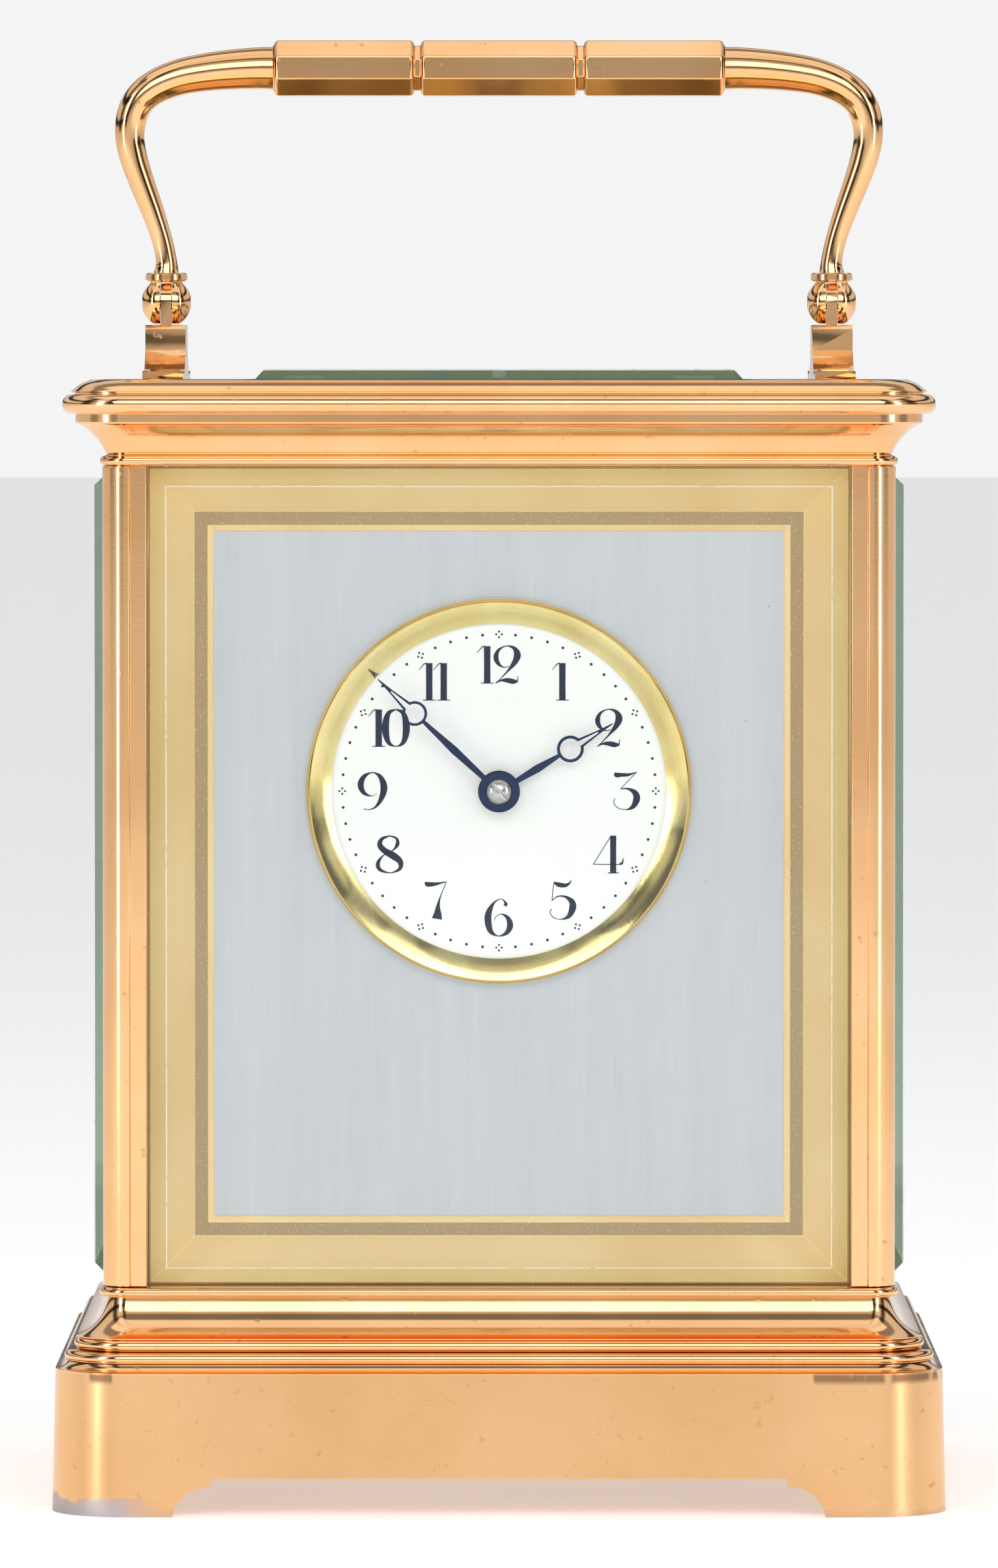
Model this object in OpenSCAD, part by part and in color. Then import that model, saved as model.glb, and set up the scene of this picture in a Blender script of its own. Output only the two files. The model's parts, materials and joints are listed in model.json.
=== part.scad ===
// Carriage-style mantel clock: gorge case with bevelled glasses, folding handle,
// hinged rear door and an eight-day spring movement with a lever platform.
// Frame: +X to the viewer's right, -Y to the front, +Z up, origin under the base's centre.

/* [Case] */
// Width over the corner pillars
body_w = 94.2; // [84:0.1:125]
// Depth over the corner pillars
body_d = 80.2; // [76:0.1:110]
// Length of the corner pillars between base and cornice
pillar_h = 97.4; // [95:0.1:125]
// Height of the plinth's upright face
plinth_h = 17.3; // [14:0.1:24]
// Height of the arches between the feet
arch_h = 4.6; // [3:0.1:7]
// Distance from the plinth's side to each foot's inner edge
foot_w = 19; // [14:0.1:24]
// Wall of the base casting
base_wall = 3.6; // [2.5:0.1:5]

/* [Pillars] */
// Radius of the pillar's rounded corner
pillar_r = 3.3; // [2.5:0.1:4]
// Width of the flat strip beside the rounded corner
strip_w = 2.0; // [1.8:0.1:3]
// Setback of the strip from the pillar's face
strip_set = 0.25; // [0.1:0.05:0.5]

/* [Glasses] */
// Thickness of the bevelled glasses
glass_t = 4.6; // [4:0.1:6]
// How far the glass stands proud of the pillars
glass_proud = 1.25; // [0.5:0.05:1.6]
// Width of the ground bevel
bevel_w = 2.4; // [1.6:0.1:4]
// Depth of the ground bevel
bevel_drop = 2.6; // [2:0.1:3.2]
// How far a glass reaches into its groove
groove_d = 0.8; // [0.5:0.05:0.9]
// Width of the aperture in the top
top_gap_w = 61.4; // [50:0.1:70]
// Depth of the aperture in the top
top_gap_d = 47.6; // [40:0.1:60]

/* [Handle] */
// Height of the handle's pivots above the top
pivot_h = 9.35; // [8:0.05:12]
// Height of the grip's axis above the pivots
grip_rise = 28.5; // [24:0.1:32]
// Width of the grip across its flats
grip_af = 6.7; // [5.5:0.1:8]
// Length of the grip's middle section
grip_mid = 18.9; // [15:0.1:22]
// Length of each outer section of the grip
grip_end = 16.9; // [13:0.1:18]
// Diameter of the knuckle balls
knuckle_d = 6.1; // [5.4:0.1:6.6]
// Thickness of the bracket's tongue
tongue_t = 1.3; // [1:0.1:1.8]
// Diameter of the handle's pivot pins
pivot_d = 1.6; // [1.2:0.1:2]

/* [Dial] */
// Drop of the dial's centre below the cornice
dial_drop = 38.8; // [34:0.1:42]
// Radius of the bezel
bezel_r = 23.0; // [21:0.1:24.5]
// Radius of the dial that shows
dial_r = 20.0; // [18:0.1:21]
// Width of the mask's sloping border
slope_w = 5.1; // [3:0.1:6]
// Width of the mask's flat border
band_w = 1.6; // [1:0.1:2.5]
// Length of the minute hand
minute_l = 19.7; // [15:0.1:20]
// Length of the hour hand
hour_l = 15.8; // [11:0.1:17]

/* [Movement] */
// Width of the movement plates
plate_w = 66; // [60:0.5:70]
// Thickness of the movement plates
plate_t = 2; // [1.6:0.1:2.6]
// Clear distance between the plates
plate_gap = 34.5; // [33:0.1:36]
// Module of the barrel's teeth
barrel_m = 0.5; // [0.48:0.01:0.52]
// Diameter of the plate pillars
post_d = 6; // [4:0.1:7]

/* [Hidden] */
$fn = 64;

eps = 0.01;
fit = 0.05;          // radial running clearance of a pin or pivot
slack = 0.15;        // gap round a piece that is fitted or swings
over = 1;            // how far a cut runs past the face it opens
hx = body_w / 2;
hy = body_d / 2;

// Colours
case_gold = [0.93, 0.68, 0.42];
floor_brass = [0.78, 0.6, 0.28];
plate_brass = [0.82, 0.64, 0.3];
wheel_brass = [0.85, 0.67, 0.32];
steel = [0.7, 0.7, 0.72];
platform_gilt = [0.84, 0.68, 0.36];
blued_screw = [0.25, 0.3, 0.5];
screw_steel = [0.62, 0.62, 0.64];
hand_blue = [0.12, 0.14, 0.28];
pin_brass = [0.85, 0.6, 0.36];
mask_gilt = [0.86, 0.66, 0.38];
panel_silver = [0.8, 0.8, 0.78];
bezel_brass = [0.88, 0.7, 0.32];
enamel_white = [0.96, 0.95, 0.92];
spring_steel = [0.4, 0.45, 0.55];
click_blue = [0.35, 0.42, 0.62];
nut_steel = [0.75, 0.75, 0.77];
hair_blue = [0.3, 0.38, 0.6];
clear_glass = [0.8, 0.9, 0.85, 0.35];

// Base and cornice heights
base_reach = 6.1;    // projection of the plinth
flat_edge = 1.3;     // projection of the cornice's flat top
mould_h = 9.5;       // stack of mouldings above the plinth
base_h = plinth_h + mould_h;
col_top = base_h + pillar_h;
cornice_h = 10.25;
top_z = col_top + cornice_h;
top_plate_t = 3.3;   // solid top of the cornice
rail_w = pillar_r + strip_w;      // width of a pillar, and of the rails that hold the glasses
ox = hx - rail_w;    // half the opening between the pillars, across
oy = hy - rail_w;    // half the opening between the pillars, front to back

// Glass planes, as depths behind the pillar's face
rim_in = glass_t - glass_proud;   // inner face of every glass
rim_out = bevel_drop - glass_proud;
groove_slack = 0.05;

function arc(c, r, a0, a1, n) = [for (i = [0:n]) let (a = a0 + (a1 - a0) * i / n)
    [c.x + r * cos(a), c.y + r * sin(a)]];
// Arc from a to b that bulges by s to the left of the chord
function bow(a, b, s, n) = let (
        d = b - a, l = norm(d), u = d / l, v = [-u.y, u.x],
        r = (l * l / 4 + s * s) / (2 * s), c = (a + b) / 2 + v * (s - r),
        h = asin(l / 2 / r), m = atan2(v.y, v.x))
    [for (i = [0:n]) let (t = m + h - 2 * h * i / n) [c.x + r * cos(t), c.y + r * sin(t)]];
// Where circles about a and b, of radii p and q, meet to the left of the line from a to b
function meet(a, b, p, q) = let (
        d = norm(b - a), u = (b - a) / d, t = (p * p - q * q + d * d) / (2 * d),
        h = sqrt(p * p - t * t))
    a + u * t + [-u.y, u.x] * h;
function heading(a, b) = atan2(b.y - a.y, b.x - a.x);

// Mouldings: points are [projection beyond the pillar's face, height]
ledge = 0.6;         // height of the quarter round above the plinth
torus_low = [3.95, plinth_h + 1.27];
torus_high = [2.75, plinth_h + 2.7];
base_profile = concat(
    [[-pillar_r, 0], [base_reach, 0], [base_reach - 0.4, plinth_h - 0.3]],
    bow([base_reach - 0.4, plinth_h - 0.3], [4.3, plinth_h + ledge], 0.3, 4),
    arc(torus_low, 0.67, -80, 80, 8),
    arc(torus_high, 0.72, -78, 78, 8),
    [[3.15, plinth_h + 3.5]],
    bow([3.15, plinth_h + 3.6], [-0.55, base_h - 1.3], 0.87, 9),
    arc([-0.2, base_h - 0.68], 0.6, -90, 90, 8),
    [[-0.2, base_h], [-pillar_r, base_h]]);
cornice_profile = concat(
    [[-pillar_r, 0], [-0.35, 0]],
    arc([-0.35, 0.65], 0.6, -90, 90, 8),
    [[-0.55, 1.3]],
    bow([-0.55, 1.35], [2.75, 5.0], 0.42, 9),
    [[3.0, 5.05], [3.16, 5.25], [3.16, 6.15]],
    arc([3.6, 7.35], 1.15, -78, 78, 9),
    [[3.2, 8.52], [3.2, 8.7], [3.6, 8.72], [3.66, 8.85], [3.5, 9.02]],
    bow([3.3, 9.15], [1.75, 10.05], -0.12, 5),
    [[flat_edge, cornice_h], [-pillar_r, cornice_h]]);

// Handle places
bracket_x = hx + flat_edge - 7.85;
pivot_z = top_z + pivot_h;
grip_z = pivot_z + grip_rise;
bracket_w = 4.9;     // width of a bracket, across
block_d = 9;         // depth of a bracket's upper block
foot_d = 32;         // depth of a bracket's foot
grip_gap = 0.95;     // width of the grooves between the grip's sections
grip_half = grip_mid / 2 + grip_gap + grip_end;
collar_r = 2.55;

// Dial, mask and hands, front faces
glass_back = -hy + rim_in;        // inner face of the front glass
mask_y = glass_back + 0.3;
band_y = mask_y + 4.8;
panel_y = band_y + 0.6;
panel_t = 0.8;
front_y = panel_y + 4.5;          // front face of the front plate
back_y = front_y + plate_t + plate_gap;   // front face of the back plate
rear_y = back_y + plate_t;
inner_y = front_y + plate_t;
floor_z = base_h - 2;             // top of the floor plate, which carries the movement
floor_t = 2.5;
dial_z = col_top - dial_drop;
centre = [0, dial_z];
plate_top = dial_z + 18.9;
mask_hx = ox - slack;
mask_z0 = base_h + slack;
mask_z1 = col_top - slack;

// Going train: teeth, modules and arbor places in the plane of the dial
barrel_n = 80;
inter_pinion_n = 16;
inter_n = 72;
inter_m = 0.35;
centre_pinion_n = 12;
centre_n = 64;
centre_m = 0.32;
third_pinion_n = 8;
third_n = 60;
third_m = 0.32;
fourth_pinion_n = 8;
contrate_n = 70;
contrate_m = 0.26;
escape_pinion_n = 7;
function span(a, b, m) = (a + b) * m / 2;
barrel_at = centre + [-8, -35.4];
inter_at = meet(barrel_at, centre, span(barrel_n, inter_pinion_n, barrel_m),
    span(inter_n, centre_pinion_n, inter_m));
contrate_at = centre + [9, 7.4];
third_at = meet(contrate_at, centre, span(third_n, fourth_pinion_n, third_m),
    span(centre_n, third_pinion_n, centre_m));
contrate_r = contrate_n * contrate_m / 2;

// Motion work
cannon_n = 12;
minute_n = 36;
cannon_m = 0.4;
motion_pinion_n = 10;
hour_n = 40;
hour_m = cannon_m * (cannon_n + minute_n) / (motion_pinion_n + hour_n);
motion_at = centre + span(cannon_n, minute_n, cannon_m) * [cos(-60), sin(-60)];

// Depths of the wheels
barrel_y = inner_y + 2.5;         // front of the barrel's toothed rim
rim_t = 2;
drum_r = 18.6;
drum_l = 13;
wheel_t = 1.2;
inter_y = inner_y + 20.5;
centre_y = inner_y + 29.5;
third_y = inner_y + 9.5;
contrate_y = inner_y + 15.5;
pitch_y = contrate_y + wheel_t + 0.85;

// Platform escapement
platform_t = 2;
platform_z = plate_top + platform_t;
escape_at = [contrate_at.x, pitch_y + escape_pinion_n * contrate_m / 2];
escape_r = 3.6;
escape_teeth = 15;
lever_at = escape_at - [escape_r / cos(30), 0];
roller_r = 1.0;
fork_l = 4;
balance_at = lever_at - [fork_l + roller_r, 0];
balance_r = 7;
escape_z = platform_z + 1.3;
bridge_z = platform_z + 2.5;
bridge_t = 0.9;
balance_z = platform_z + 4.1;
cock_z = platform_z + 6.6;
cock_t = 1.1;
spring_z = platform_z + 5.75;

// Hands, counted from the dial's face towards the front
dial_face = panel_y - 0.55;
hour_y = dial_face - 1.35;
minute_y = dial_face - 2.45;
hand_t = 0.25;
minute_angle = -47.1;             // where the hands point, clockwise from twelve
hour_angle = 59.2;

// Rear door
door_t = 3;
door_y = hy - 0.3;                // outer face of the door
door_hx = ox - slack;
door_z0 = base_h + slack;
door_z1 = col_top - slack;
door_rail = 3.6;
hinge_at = [-door_hx + door_t / 2, door_y - door_t / 2];
hinge_r = 0.8;
hinge_hole = 4;      // length of the cut for each door pivot
knob_at = [door_hx - door_rail / 2, (base_h + col_top) / 2];

// Extrudes a shape drawn in X and Z between two depths
module slab(y0, y1) translate([0, y1, 0]) rotate([90, 0, 0]) linear_extrude(y1 - y0) children();
module put(p) translate([p.x, 0, p.y]) children();
module rod(p, r, y0, y1) put(p) slab(y0, y1) circle(r);
module post(p, r, z0, z1) translate([p.x, p.y, z0]) cylinder(r = r, h = z1 - z0);
module block(x0, x1, y0, y1, z0, z1) translate([x0, y0, z0]) cube([x1 - x0, y1 - y0, z1 - z0]);
module both_x() for (s = [0, 1]) mirror([s, 0, 0]) children();
module both_y() for (s = [0, 1]) mirror([0, s, 0]) children();

// A rectangular frustum: half sizes a at z = 0 and b at z = h
module frustum(a, b, h) intersection() {
    translate([0, a.y + b.y, 0]) rotate([90, 0, 0]) linear_extrude(2 * (a.y + b.y))
        polygon([[-a.x, 0], [a.x, 0], [b.x, h], [-b.x, h]]);
    translate([-a.x - b.x, 0, 0]) rotate([90, 0, 90]) linear_extrude(2 * (a.x + b.x))
        polygon([[-a.y, 0], [a.y, 0], [b.y, h], [-b.y, h]]);
}

// A moulding carried round the body's rounded corners, solid inside
module moulded(profile, h) {
    cx = hx - pillar_r;
    cy = hy - pillar_r;
    turned = [for (p = profile) [p.x + pillar_r, p.y]];
    both_x() both_y() translate([cx, cy, 0]) rotate_extrude(angle = 90) polygon(turned);
    both_x() translate([cx, cy, 0]) rotate([90, 0, 0]) linear_extrude(2 * cy) polygon(turned);
    both_y() translate([-cx, cy, 0]) rotate([90, 0, 90]) linear_extrude(2 * cx) polygon(turned);
    block(-cx, cx, -cy, cy, 0, h);
}

// A glass with ground bevels: half sizes s, a lip round the edge, its outer face at z = t
module bevelled(s, t) {
    rim = t - bevel_drop;
    e = s - [groove_d, groove_d];
    translate([0, 0, rim]) frustum(e, e - [bevel_w, bevel_w], bevel_drop);
    block(-s.x, s.x, -s.y, s.y, 0, rim);
}

// Grooves for the three fixed glasses in a face at height z
module glass_grooves(z0, z1) {
    g = groove_slack;
    block(-ox - groove_d, ox + groove_d, -hy + rim_out - g, -hy + rim_in + g, z0, z1);
    both_x() block(hx - rim_in - g, hx - rim_out + g, -oy - groove_d, oy + groove_d, z0, z1);
}

stud_at = [bracket_x - 0.6, 9];      // axis of the brackets' studs
post_x = plate_w / 2 - 5;            // plate pillars, across
stay_y = [inner_y + 7, back_y - 7];  // screws that hold the movement from below
bolt_l = 3.1;                        // reach of the door's bolt from its knob
bolt_t = 1.1;
bolt_w = 1.8;
screw_at = [hx - pillar_r, hy - pillar_r];   // axis of the case screws and pillar studs
screw_r = 0.9;
boss_r = 3.2;
pocket_h = plinth_h - 2.5;        // depth of the hollow under the base

module arch(half, run) rotate([90, 0, 0]) linear_extrude(run, center = true) {
    translate([-half, -over]) square([2 * half, arch_h + over]);
    for (s = [-1, 1]) translate([s * (half + 0.4), -0.6]) circle(arch_h - 0.5);
}

module base_casting() color(case_gold) difference() {
    union() {
        difference() {
            moulded(base_profile, base_h);
            block(-hx - base_reach + base_wall, hx + base_reach - base_wall,
                -hy - base_reach + base_wall, hy + base_reach - base_wall, -1, pocket_h);
        }
        both_x() both_y() post(screw_at, boss_r, arch_h, pocket_h + 1);
    }
    block(-ox, ox, -oy, oy, floor_z - floor_t, base_h + over);
    block(-ox + 3, ox - 3, -oy + 3, oy - 3, pocket_h - 1, base_h);
    arch(hx + base_reach - foot_w, 2 * (hy + base_reach + over));
    rotate([0, 0, 90]) arch(hy + base_reach - foot_w, 2 * (hx + base_reach + over));
    both_x() both_y() post(screw_at, screw_r + fit, -1, base_h + 1);
    glass_grooves(base_h - groove_d, base_h + 1);
    translate([hinge_at.x, hinge_at.y, base_h - 3]) cylinder(r = hinge_r + fit, h = hinge_hole);
}

module floor_plate() color(floor_brass) difference() {
    block(-ox + 0.1, ox - 0.1, -oy + 0.1, oy - 0.1, floor_z - floor_t, floor_z);
    for (x = [-1, 1], y = stay_y) post([x * post_x, y], screw_r + slack,
        floor_z - floor_t - 1, floor_z + 1);
}

stud_l = 3;
module pillar() union() {
    difference() {
        union() {
            translate([hx - pillar_r, hy - pillar_r, base_h]) intersection() {
                cylinder(r = pillar_r, h = pillar_h);
                cube([pillar_r, pillar_r, pillar_h]);
            }
            block(ox, hx - pillar_r, oy, hy - strip_set, base_h, col_top);
            block(ox, hx - strip_set, oy, hy - pillar_r, base_h, col_top);
        }
        post(screw_at, screw_r, base_h - 1, base_h + 6);
    }
    post(screw_at, screw_r, col_top - 1, col_top + stud_l);
}
module grooved_pillar() difference() {
    children();
    glass_grooves(base_h - 1, col_top + 1);
}
module pillar_front_right() color(case_gold) grooved_pillar() mirror([0, 1, 0]) pillar();
module pillar_front_left() color(case_gold) mirror([1, 0, 0]) pillar_front_right();
module pillar_rear_left() color(case_gold) grooved_pillar() mirror([1, 0, 0]) pillar();
// The right rear pillar has a notch for the door's bolt
module pillar_rear_right() color(case_gold) difference() {
    grooved_pillar() pillar();
    block(ox - 1, knob_at.x + bolt_l + slack, door_y - door_t - bolt_t - slack,
        door_y - door_t + slack, knob_at.y - bolt_l - slack, knob_at.y + 1.3);
}

module cornice() color(case_gold) difference() {
    translate([0, 0, col_top]) moulded(cornice_profile, cornice_h);
    block(-ox, ox, -oy, oy, col_top - 1, top_z - top_plate_t);
    block(-top_gap_w / 2, top_gap_w / 2, -top_gap_d / 2, top_gap_d / 2, col_top, top_z + 1);
    block(-top_gap_w / 2 - groove_d, top_gap_w / 2 + groove_d, -top_gap_d / 2 - groove_d,
        top_gap_d / 2 + groove_d, col_top, top_z - rim_out + groove_slack);
    both_x() both_y() post(screw_at, screw_r + fit, col_top - 1, col_top + stud_l + 0.2);
    both_x() both_y() post(stud_at, screw_r, top_z - top_plate_t - 1, top_z + 1);
    glass_grooves(col_top - 1, col_top + groove_d);
    translate([hinge_at.x, hinge_at.y, col_top - 1]) cylinder(r = hinge_r + fit, h = hinge_hole);
}

module glass_tint() color(clear_glass) children();
side_hz = pillar_h / 2 + groove_d - groove_slack;
mid_z = (base_h + col_top) / 2;
module front_glass() glass_tint() translate([0, -hy + rim_in, mid_z]) rotate([90, 0, 0])
    bevelled([ox + groove_d - groove_slack, side_hz], glass_t);
module left_glass() glass_tint() translate([-hx + rim_in, 0, mid_z]) rotate([90, 0, -90])
    bevelled([oy + groove_d - groove_slack, side_hz], glass_t);
module right_glass() glass_tint() mirror([1, 0, 0]) left_glass();
module top_glass() glass_tint() translate([0, 0, top_z - rim_in])
    bevelled([top_gap_w / 2 + groove_d - slack, top_gap_d / 2 + groove_d - slack], glass_t);
// Clips that hold the top glass from below, each with its screw head
clip_z = top_z - rim_in;          // against the glass
clip_t = 0.8;
clip_w = 5;
clip_in = 2;         // reach under the glass
clip_out = 4.5;      // reach under the cornice
clip_x = top_gap_w / 2 - 6.5;
clip_screw_r = 1.3;
module top_glass_clips() color(floor_brass) both_x() both_y() {
    block(clip_x - clip_w / 2, clip_x + clip_w / 2, top_gap_d / 2 - clip_in,
        top_gap_d / 2 + clip_out, clip_z - clip_t, clip_z);
    post([clip_x, top_gap_d / 2 + clip_out - 1.7], clip_screw_r, clip_z - clip_t - 0.7,
        clip_z - clip_t);
}

module case_fixings() color(screw_steel) {
    both_x() both_y() {
        difference() {
            post(screw_at, 2.1, arch_h - 1.6, arch_h);
            block(screw_at.x - 3, screw_at.x + 3, screw_at.y - 0.3, screw_at.y + 0.3,
                arch_h - 2, arch_h - 1);
        }
        post(screw_at, screw_r, arch_h, base_h + 5);
        difference() {
            translate([stud_at.x, stud_at.y, top_z - top_plate_t - 1.5])
                cylinder(r = 1.7, h = 1.5, $fn = 6);
            post(stud_at, screw_r, top_z - top_plate_t - 3, top_z);
        }
    }
}

// Handle: brackets on the cornice, two arms, an octagonal grip and its pivot pins
module handle_bracket() {
    foot = concat([[-foot_d / 2, 0], [foot_d / 2, 0], [foot_d / 2, 0.9]],
        bow([foot_d / 2 - 0.2, 1.0], [block_d / 2, 3.5], 1.5, 8),
        [[block_d / 2, 3.7], [block_d / 2, 6.1], [block_d / 2 - 0.5, 6.6],
        [-block_d / 2 + 0.5, 6.6], [-block_d / 2, 6.1], [-block_d / 2, 3.7]],
        bow([-block_d / 2, 3.5], [-foot_d / 2 + 0.2, 1.0], 1.5, 8),
        [[-foot_d / 2, 0.9]]);
    translate([bracket_x, 0, top_z]) difference() {
        union() {
            translate([-bracket_w / 2, 0, 0]) rotate([90, 0, 90]) linear_extrude(bracket_w)
                polygon(foot);
            translate([-tongue_t / 2, 0, pivot_h]) rotate([0, 90, 0])
                cylinder(r = knuckle_d / 2 - 0.7, h = tongue_t);
            block(-tongue_t / 2, tongue_t / 2, -knuckle_d / 2 + 0.7, knuckle_d / 2 - 0.7,
                6, pivot_h);
        }
        translate([-3, 0, pivot_h]) rotate([0, 90, 0]) cylinder(d = pivot_d + 2 * fit, h = 6);
    }
    both_y() post(stud_at, screw_r, top_z - top_plate_t - 2.2, top_z + 0.5);
}
module handle_bracket_right() color(case_gold) handle_bracket();
module handle_bracket_left() color(case_gold) mirror([1, 0, 0]) handle_bracket();
// Centre line of a handle arm: [distance out from the middle, height above the pivot, radius]
arm_path = [[0, 3.6, 1.52], [0, 4.9, 1.3], [0.5, 7.5, 1.25], [1.65, 11, 1.38],
    [3.0, 14.6, 1.55], [4.0, 17.6, 1.68], [4.45, 20.2, 1.78], [4.2, 22.6, 1.88],
    [3.2, 24.7, 1.98], [1.2, 26.3, 2.08], [-1.6, 27.4, 2.2], [-4.8, 28.0, 2.32],
    [-8.2, 28.35, 2.45], [-11.2, 28.5, 2.55], [-13.0, 28.5, 2.6]];
arm_n = 20;
function spline(p, i, t) = let (
        a = p[max(i - 1, 0)], b = p[i], c = p[i + 1], d = p[min(i + 2, len(p) - 1)])
    0.5 * (2 * b + t * (c - a) + t * t * (2 * a - 5 * b + 4 * c - d)
        + t * t * t * (3 * b - a - 3 * c + d));
arm_line = concat([for (i = [0:len(arm_path) - 2], t = [0, 0.5]) spline(arm_path, i, t)],
    [arm_path[len(arm_path) - 1]]);
arm_last = len(arm_line) - 1;
function arm_ring(i) = let (
        a = arm_line[max(i - 1, 0)], b = arm_line[min(i + 1, arm_last)],
        d = [b.x - a.x, b.y - a.y], u = i == 0 ? [0, 1] : i == arm_last ? [-1, 0] : d / norm(d))
    [for (k = [0:arm_n - 1]) let (t = 360 * k / arm_n, r = arm_line[i].z)
        [arm_line[i].x + r * cos(t) * u.y, r * sin(t), arm_line[i].y - r * cos(t) * u.x]];
module arm_bar() {
    pts = [for (i = [0:arm_last], p = arm_ring(i)) p];
    polyhedron(points = pts, faces = concat(
        [[for (k = [0:arm_n - 1]) k]],
        [[for (k = [0:arm_n - 1]) arm_last * arm_n + arm_n - 1 - k]],
        [for (i = [0:arm_last - 1], k = [0:arm_n - 1], h = [0, 1]) let (j = (k + 1) % arm_n,
                a = i * arm_n, b = a + arm_n)
            h == 0 ? [a + k, b + k, b + j] : [a + k, b + j, a + j]]));
}
module handle_arm_right() color(case_gold) translate([bracket_x, 0, pivot_z]) arm_bar();
module handle_arm_left() color(case_gold) mirror([1, 0, 0]) handle_arm_right();
knuckle_face = 2.6;  // radius of the flat round the knuckle balls
module handle_knuckles() color(case_gold) both_x() translate([bracket_x, 0, pivot_z])
    difference() {
        union() {
            rotate([0, 90, 0]) rotate_extrude() polygon(concat([[0, -knuckle_d / 2]],
                [for (p = arc([0, 0], knuckle_d / 2, -80, 80, 16))
                    [min(p.x, knuckle_face), p.y]], [[0, knuckle_d / 2]]));
            rotate_extrude() polygon([[0, 1.4], [2.0, 1.4], [2.0, 2.6], [collar_r - 0.2, 2.6],
                [collar_r, 2.75], [collar_r, 3.4], [collar_r - 0.2, 3.6], [0, 3.6]]);
        }
        block(-tongue_t / 2 - 0.1, tongue_t / 2 + 0.1, -4, 4, -4, 2.45);
        translate([-4, 0, 0]) rotate([0, 90, 0]) cylinder(d = pivot_d, h = 8);
    }
module oct_bar(x0, x1, af0, af1) translate([x0, 0, grip_z]) rotate([0, 90, 0])
    rotate([0, 0, 22.5]) cylinder(d1 = af0 / cos(22.5), d2 = af1 / cos(22.5), h = x1 - x0, $fn = 8);
module grip_section(x0, x1) {
    oct_bar(x0, x0 + 0.3, grip_af - 0.6, grip_af);
    oct_bar(x0 + 0.3, x1 - 0.3, grip_af, grip_af);
    oct_bar(x1 - 0.3, x1, grip_af, grip_af - 0.6);
}
module handle_grip() color(case_gold) {
    grip_section(-grip_mid / 2, grip_mid / 2);
    both_x() {
        oct_bar(grip_mid / 2 - 0.2, grip_mid / 2 + grip_gap + 0.2, grip_af - 1.4, grip_af - 1.4);
        grip_section(grip_mid / 2 + grip_gap, grip_half);
        oct_bar(grip_half - 0.1, bracket_x - 13, grip_af - 0.9, 5.3);
    }
}
module handle_pins() color(pin_brass) both_x() translate([bracket_x, 0, pivot_z])
    rotate([0, 90, 0]) cylinder(d = pivot_d, h = 2 * 2.72, center = true);

// Dial work
mask_hz = (mask_z1 - mask_z0) / 2;
lip = 0.2;
chamfer_w = 0.75;
open_x = mask_hx - lip - slope_w - band_w - chamfer_w;
open_z = mask_hz - lip - slope_w - band_w - chamfer_w;
module dial_mask() color(mask_gilt) difference() {
    block(-mask_hx, mask_hx, mask_y, panel_y, mask_z0, mask_z1);
    translate([0, mask_y - eps, mid_z]) rotate([-90, 0, 0])
        frustum([mask_hx - lip, mask_hz - lip], [open_x + band_w + chamfer_w,
            open_z + band_w + chamfer_w], band_y - mask_y + eps);
    translate([0, band_y - eps, mid_z]) rotate([-90, 0, 0])
        frustum([open_x + chamfer_w, open_z + chamfer_w], [open_x, open_z], 0.45);
    block(-open_x, open_x, band_y, panel_y + 1, mid_z - open_z, mid_z + open_z);
}
foot_at = [[-29, 44], [29, 44], [-29, 90], [29, 90]];
module dial_panel() color(panel_silver) {
    difference() {
        block(-open_x - 5, open_x + 5, panel_y, panel_y + panel_t, mid_z - open_z - 5,
            mid_z + open_z + 5);
        rod(centre, dial_r + 1.1, panel_y - 1, panel_y + 2);
    }
    for (p = foot_at) rod(p, 1.5, panel_y + panel_t, front_y);
}
module dial_bezel() color(bezel_brass) translate([0, panel_y, dial_z]) rotate([90, 0, 0])
    rotate_extrude() polygon([[dial_r + 1.0, 0], [bezel_r, 0], [bezel_r, 1.1],
        [bezel_r - 0.15, 1.7], [bezel_r - 0.45, 1.9], [dial_r + 0.12, 0.86], [dial_r, 0.8],
        [dial_r, 0.56], [dial_r + 1.0, 0.56]]);
module enamel_dial() color(enamel_white) difference() {
    rod(centre, dial_r + 1.0, dial_face, dial_face + 1.2);
    rod(centre, 2.2, dial_face - 1, dial_face + 2);
}

// Teeth as a closed outline; wide = tooth's share of the pitch
function teeth(n, m, wide, add, ded) = let (r = n * m / 2, p = 360 / n)
    [for (i = [0:n - 1], q = [[-wide * 0.53, -ded], [-wide / 2, 0], [-wide * 0.4, add * 0.55],
        [-wide * 0.17, add], [wide * 0.17, add], [wide * 0.4, add * 0.55], [wide / 2, 0],
        [wide * 0.53, -ded]]) let (a = (i + q[0]) * p, s = r + q[1] * m)
        [s * cos(a), s * sin(a)]];
module wheel_teeth(n, m) polygon(teeth(n, m, 0.45, 0.95, 1.25));
module pinion_teeth(n, m) polygon(teeth(n, m, 0.37, 0.75, 1.3));
// A crossed-out wheel with its first tooth towards angle a
module wheel(p, n, m, y, t, a, hub, bore, spokes) put(p) slab(y, y + t) difference() {
    union() {
        difference() {
            rotate(a) wheel_teeth(n, m);
            circle(n * m / 2 - 1.25 * m - 1.3);
        }
        for (i = [0:spokes - 1]) rotate(i * 360 / spokes + 20) translate([0, -0.5])
            square([n * m / 2 - 1.25 * m - 0.8, 1]);
        circle(hub);
    }
    circle(bore);
}
module pinion(p, n, m, y0, y1, a) put(p) slab(y0, y1) rotate(a) pinion_teeth(n, m);
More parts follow.
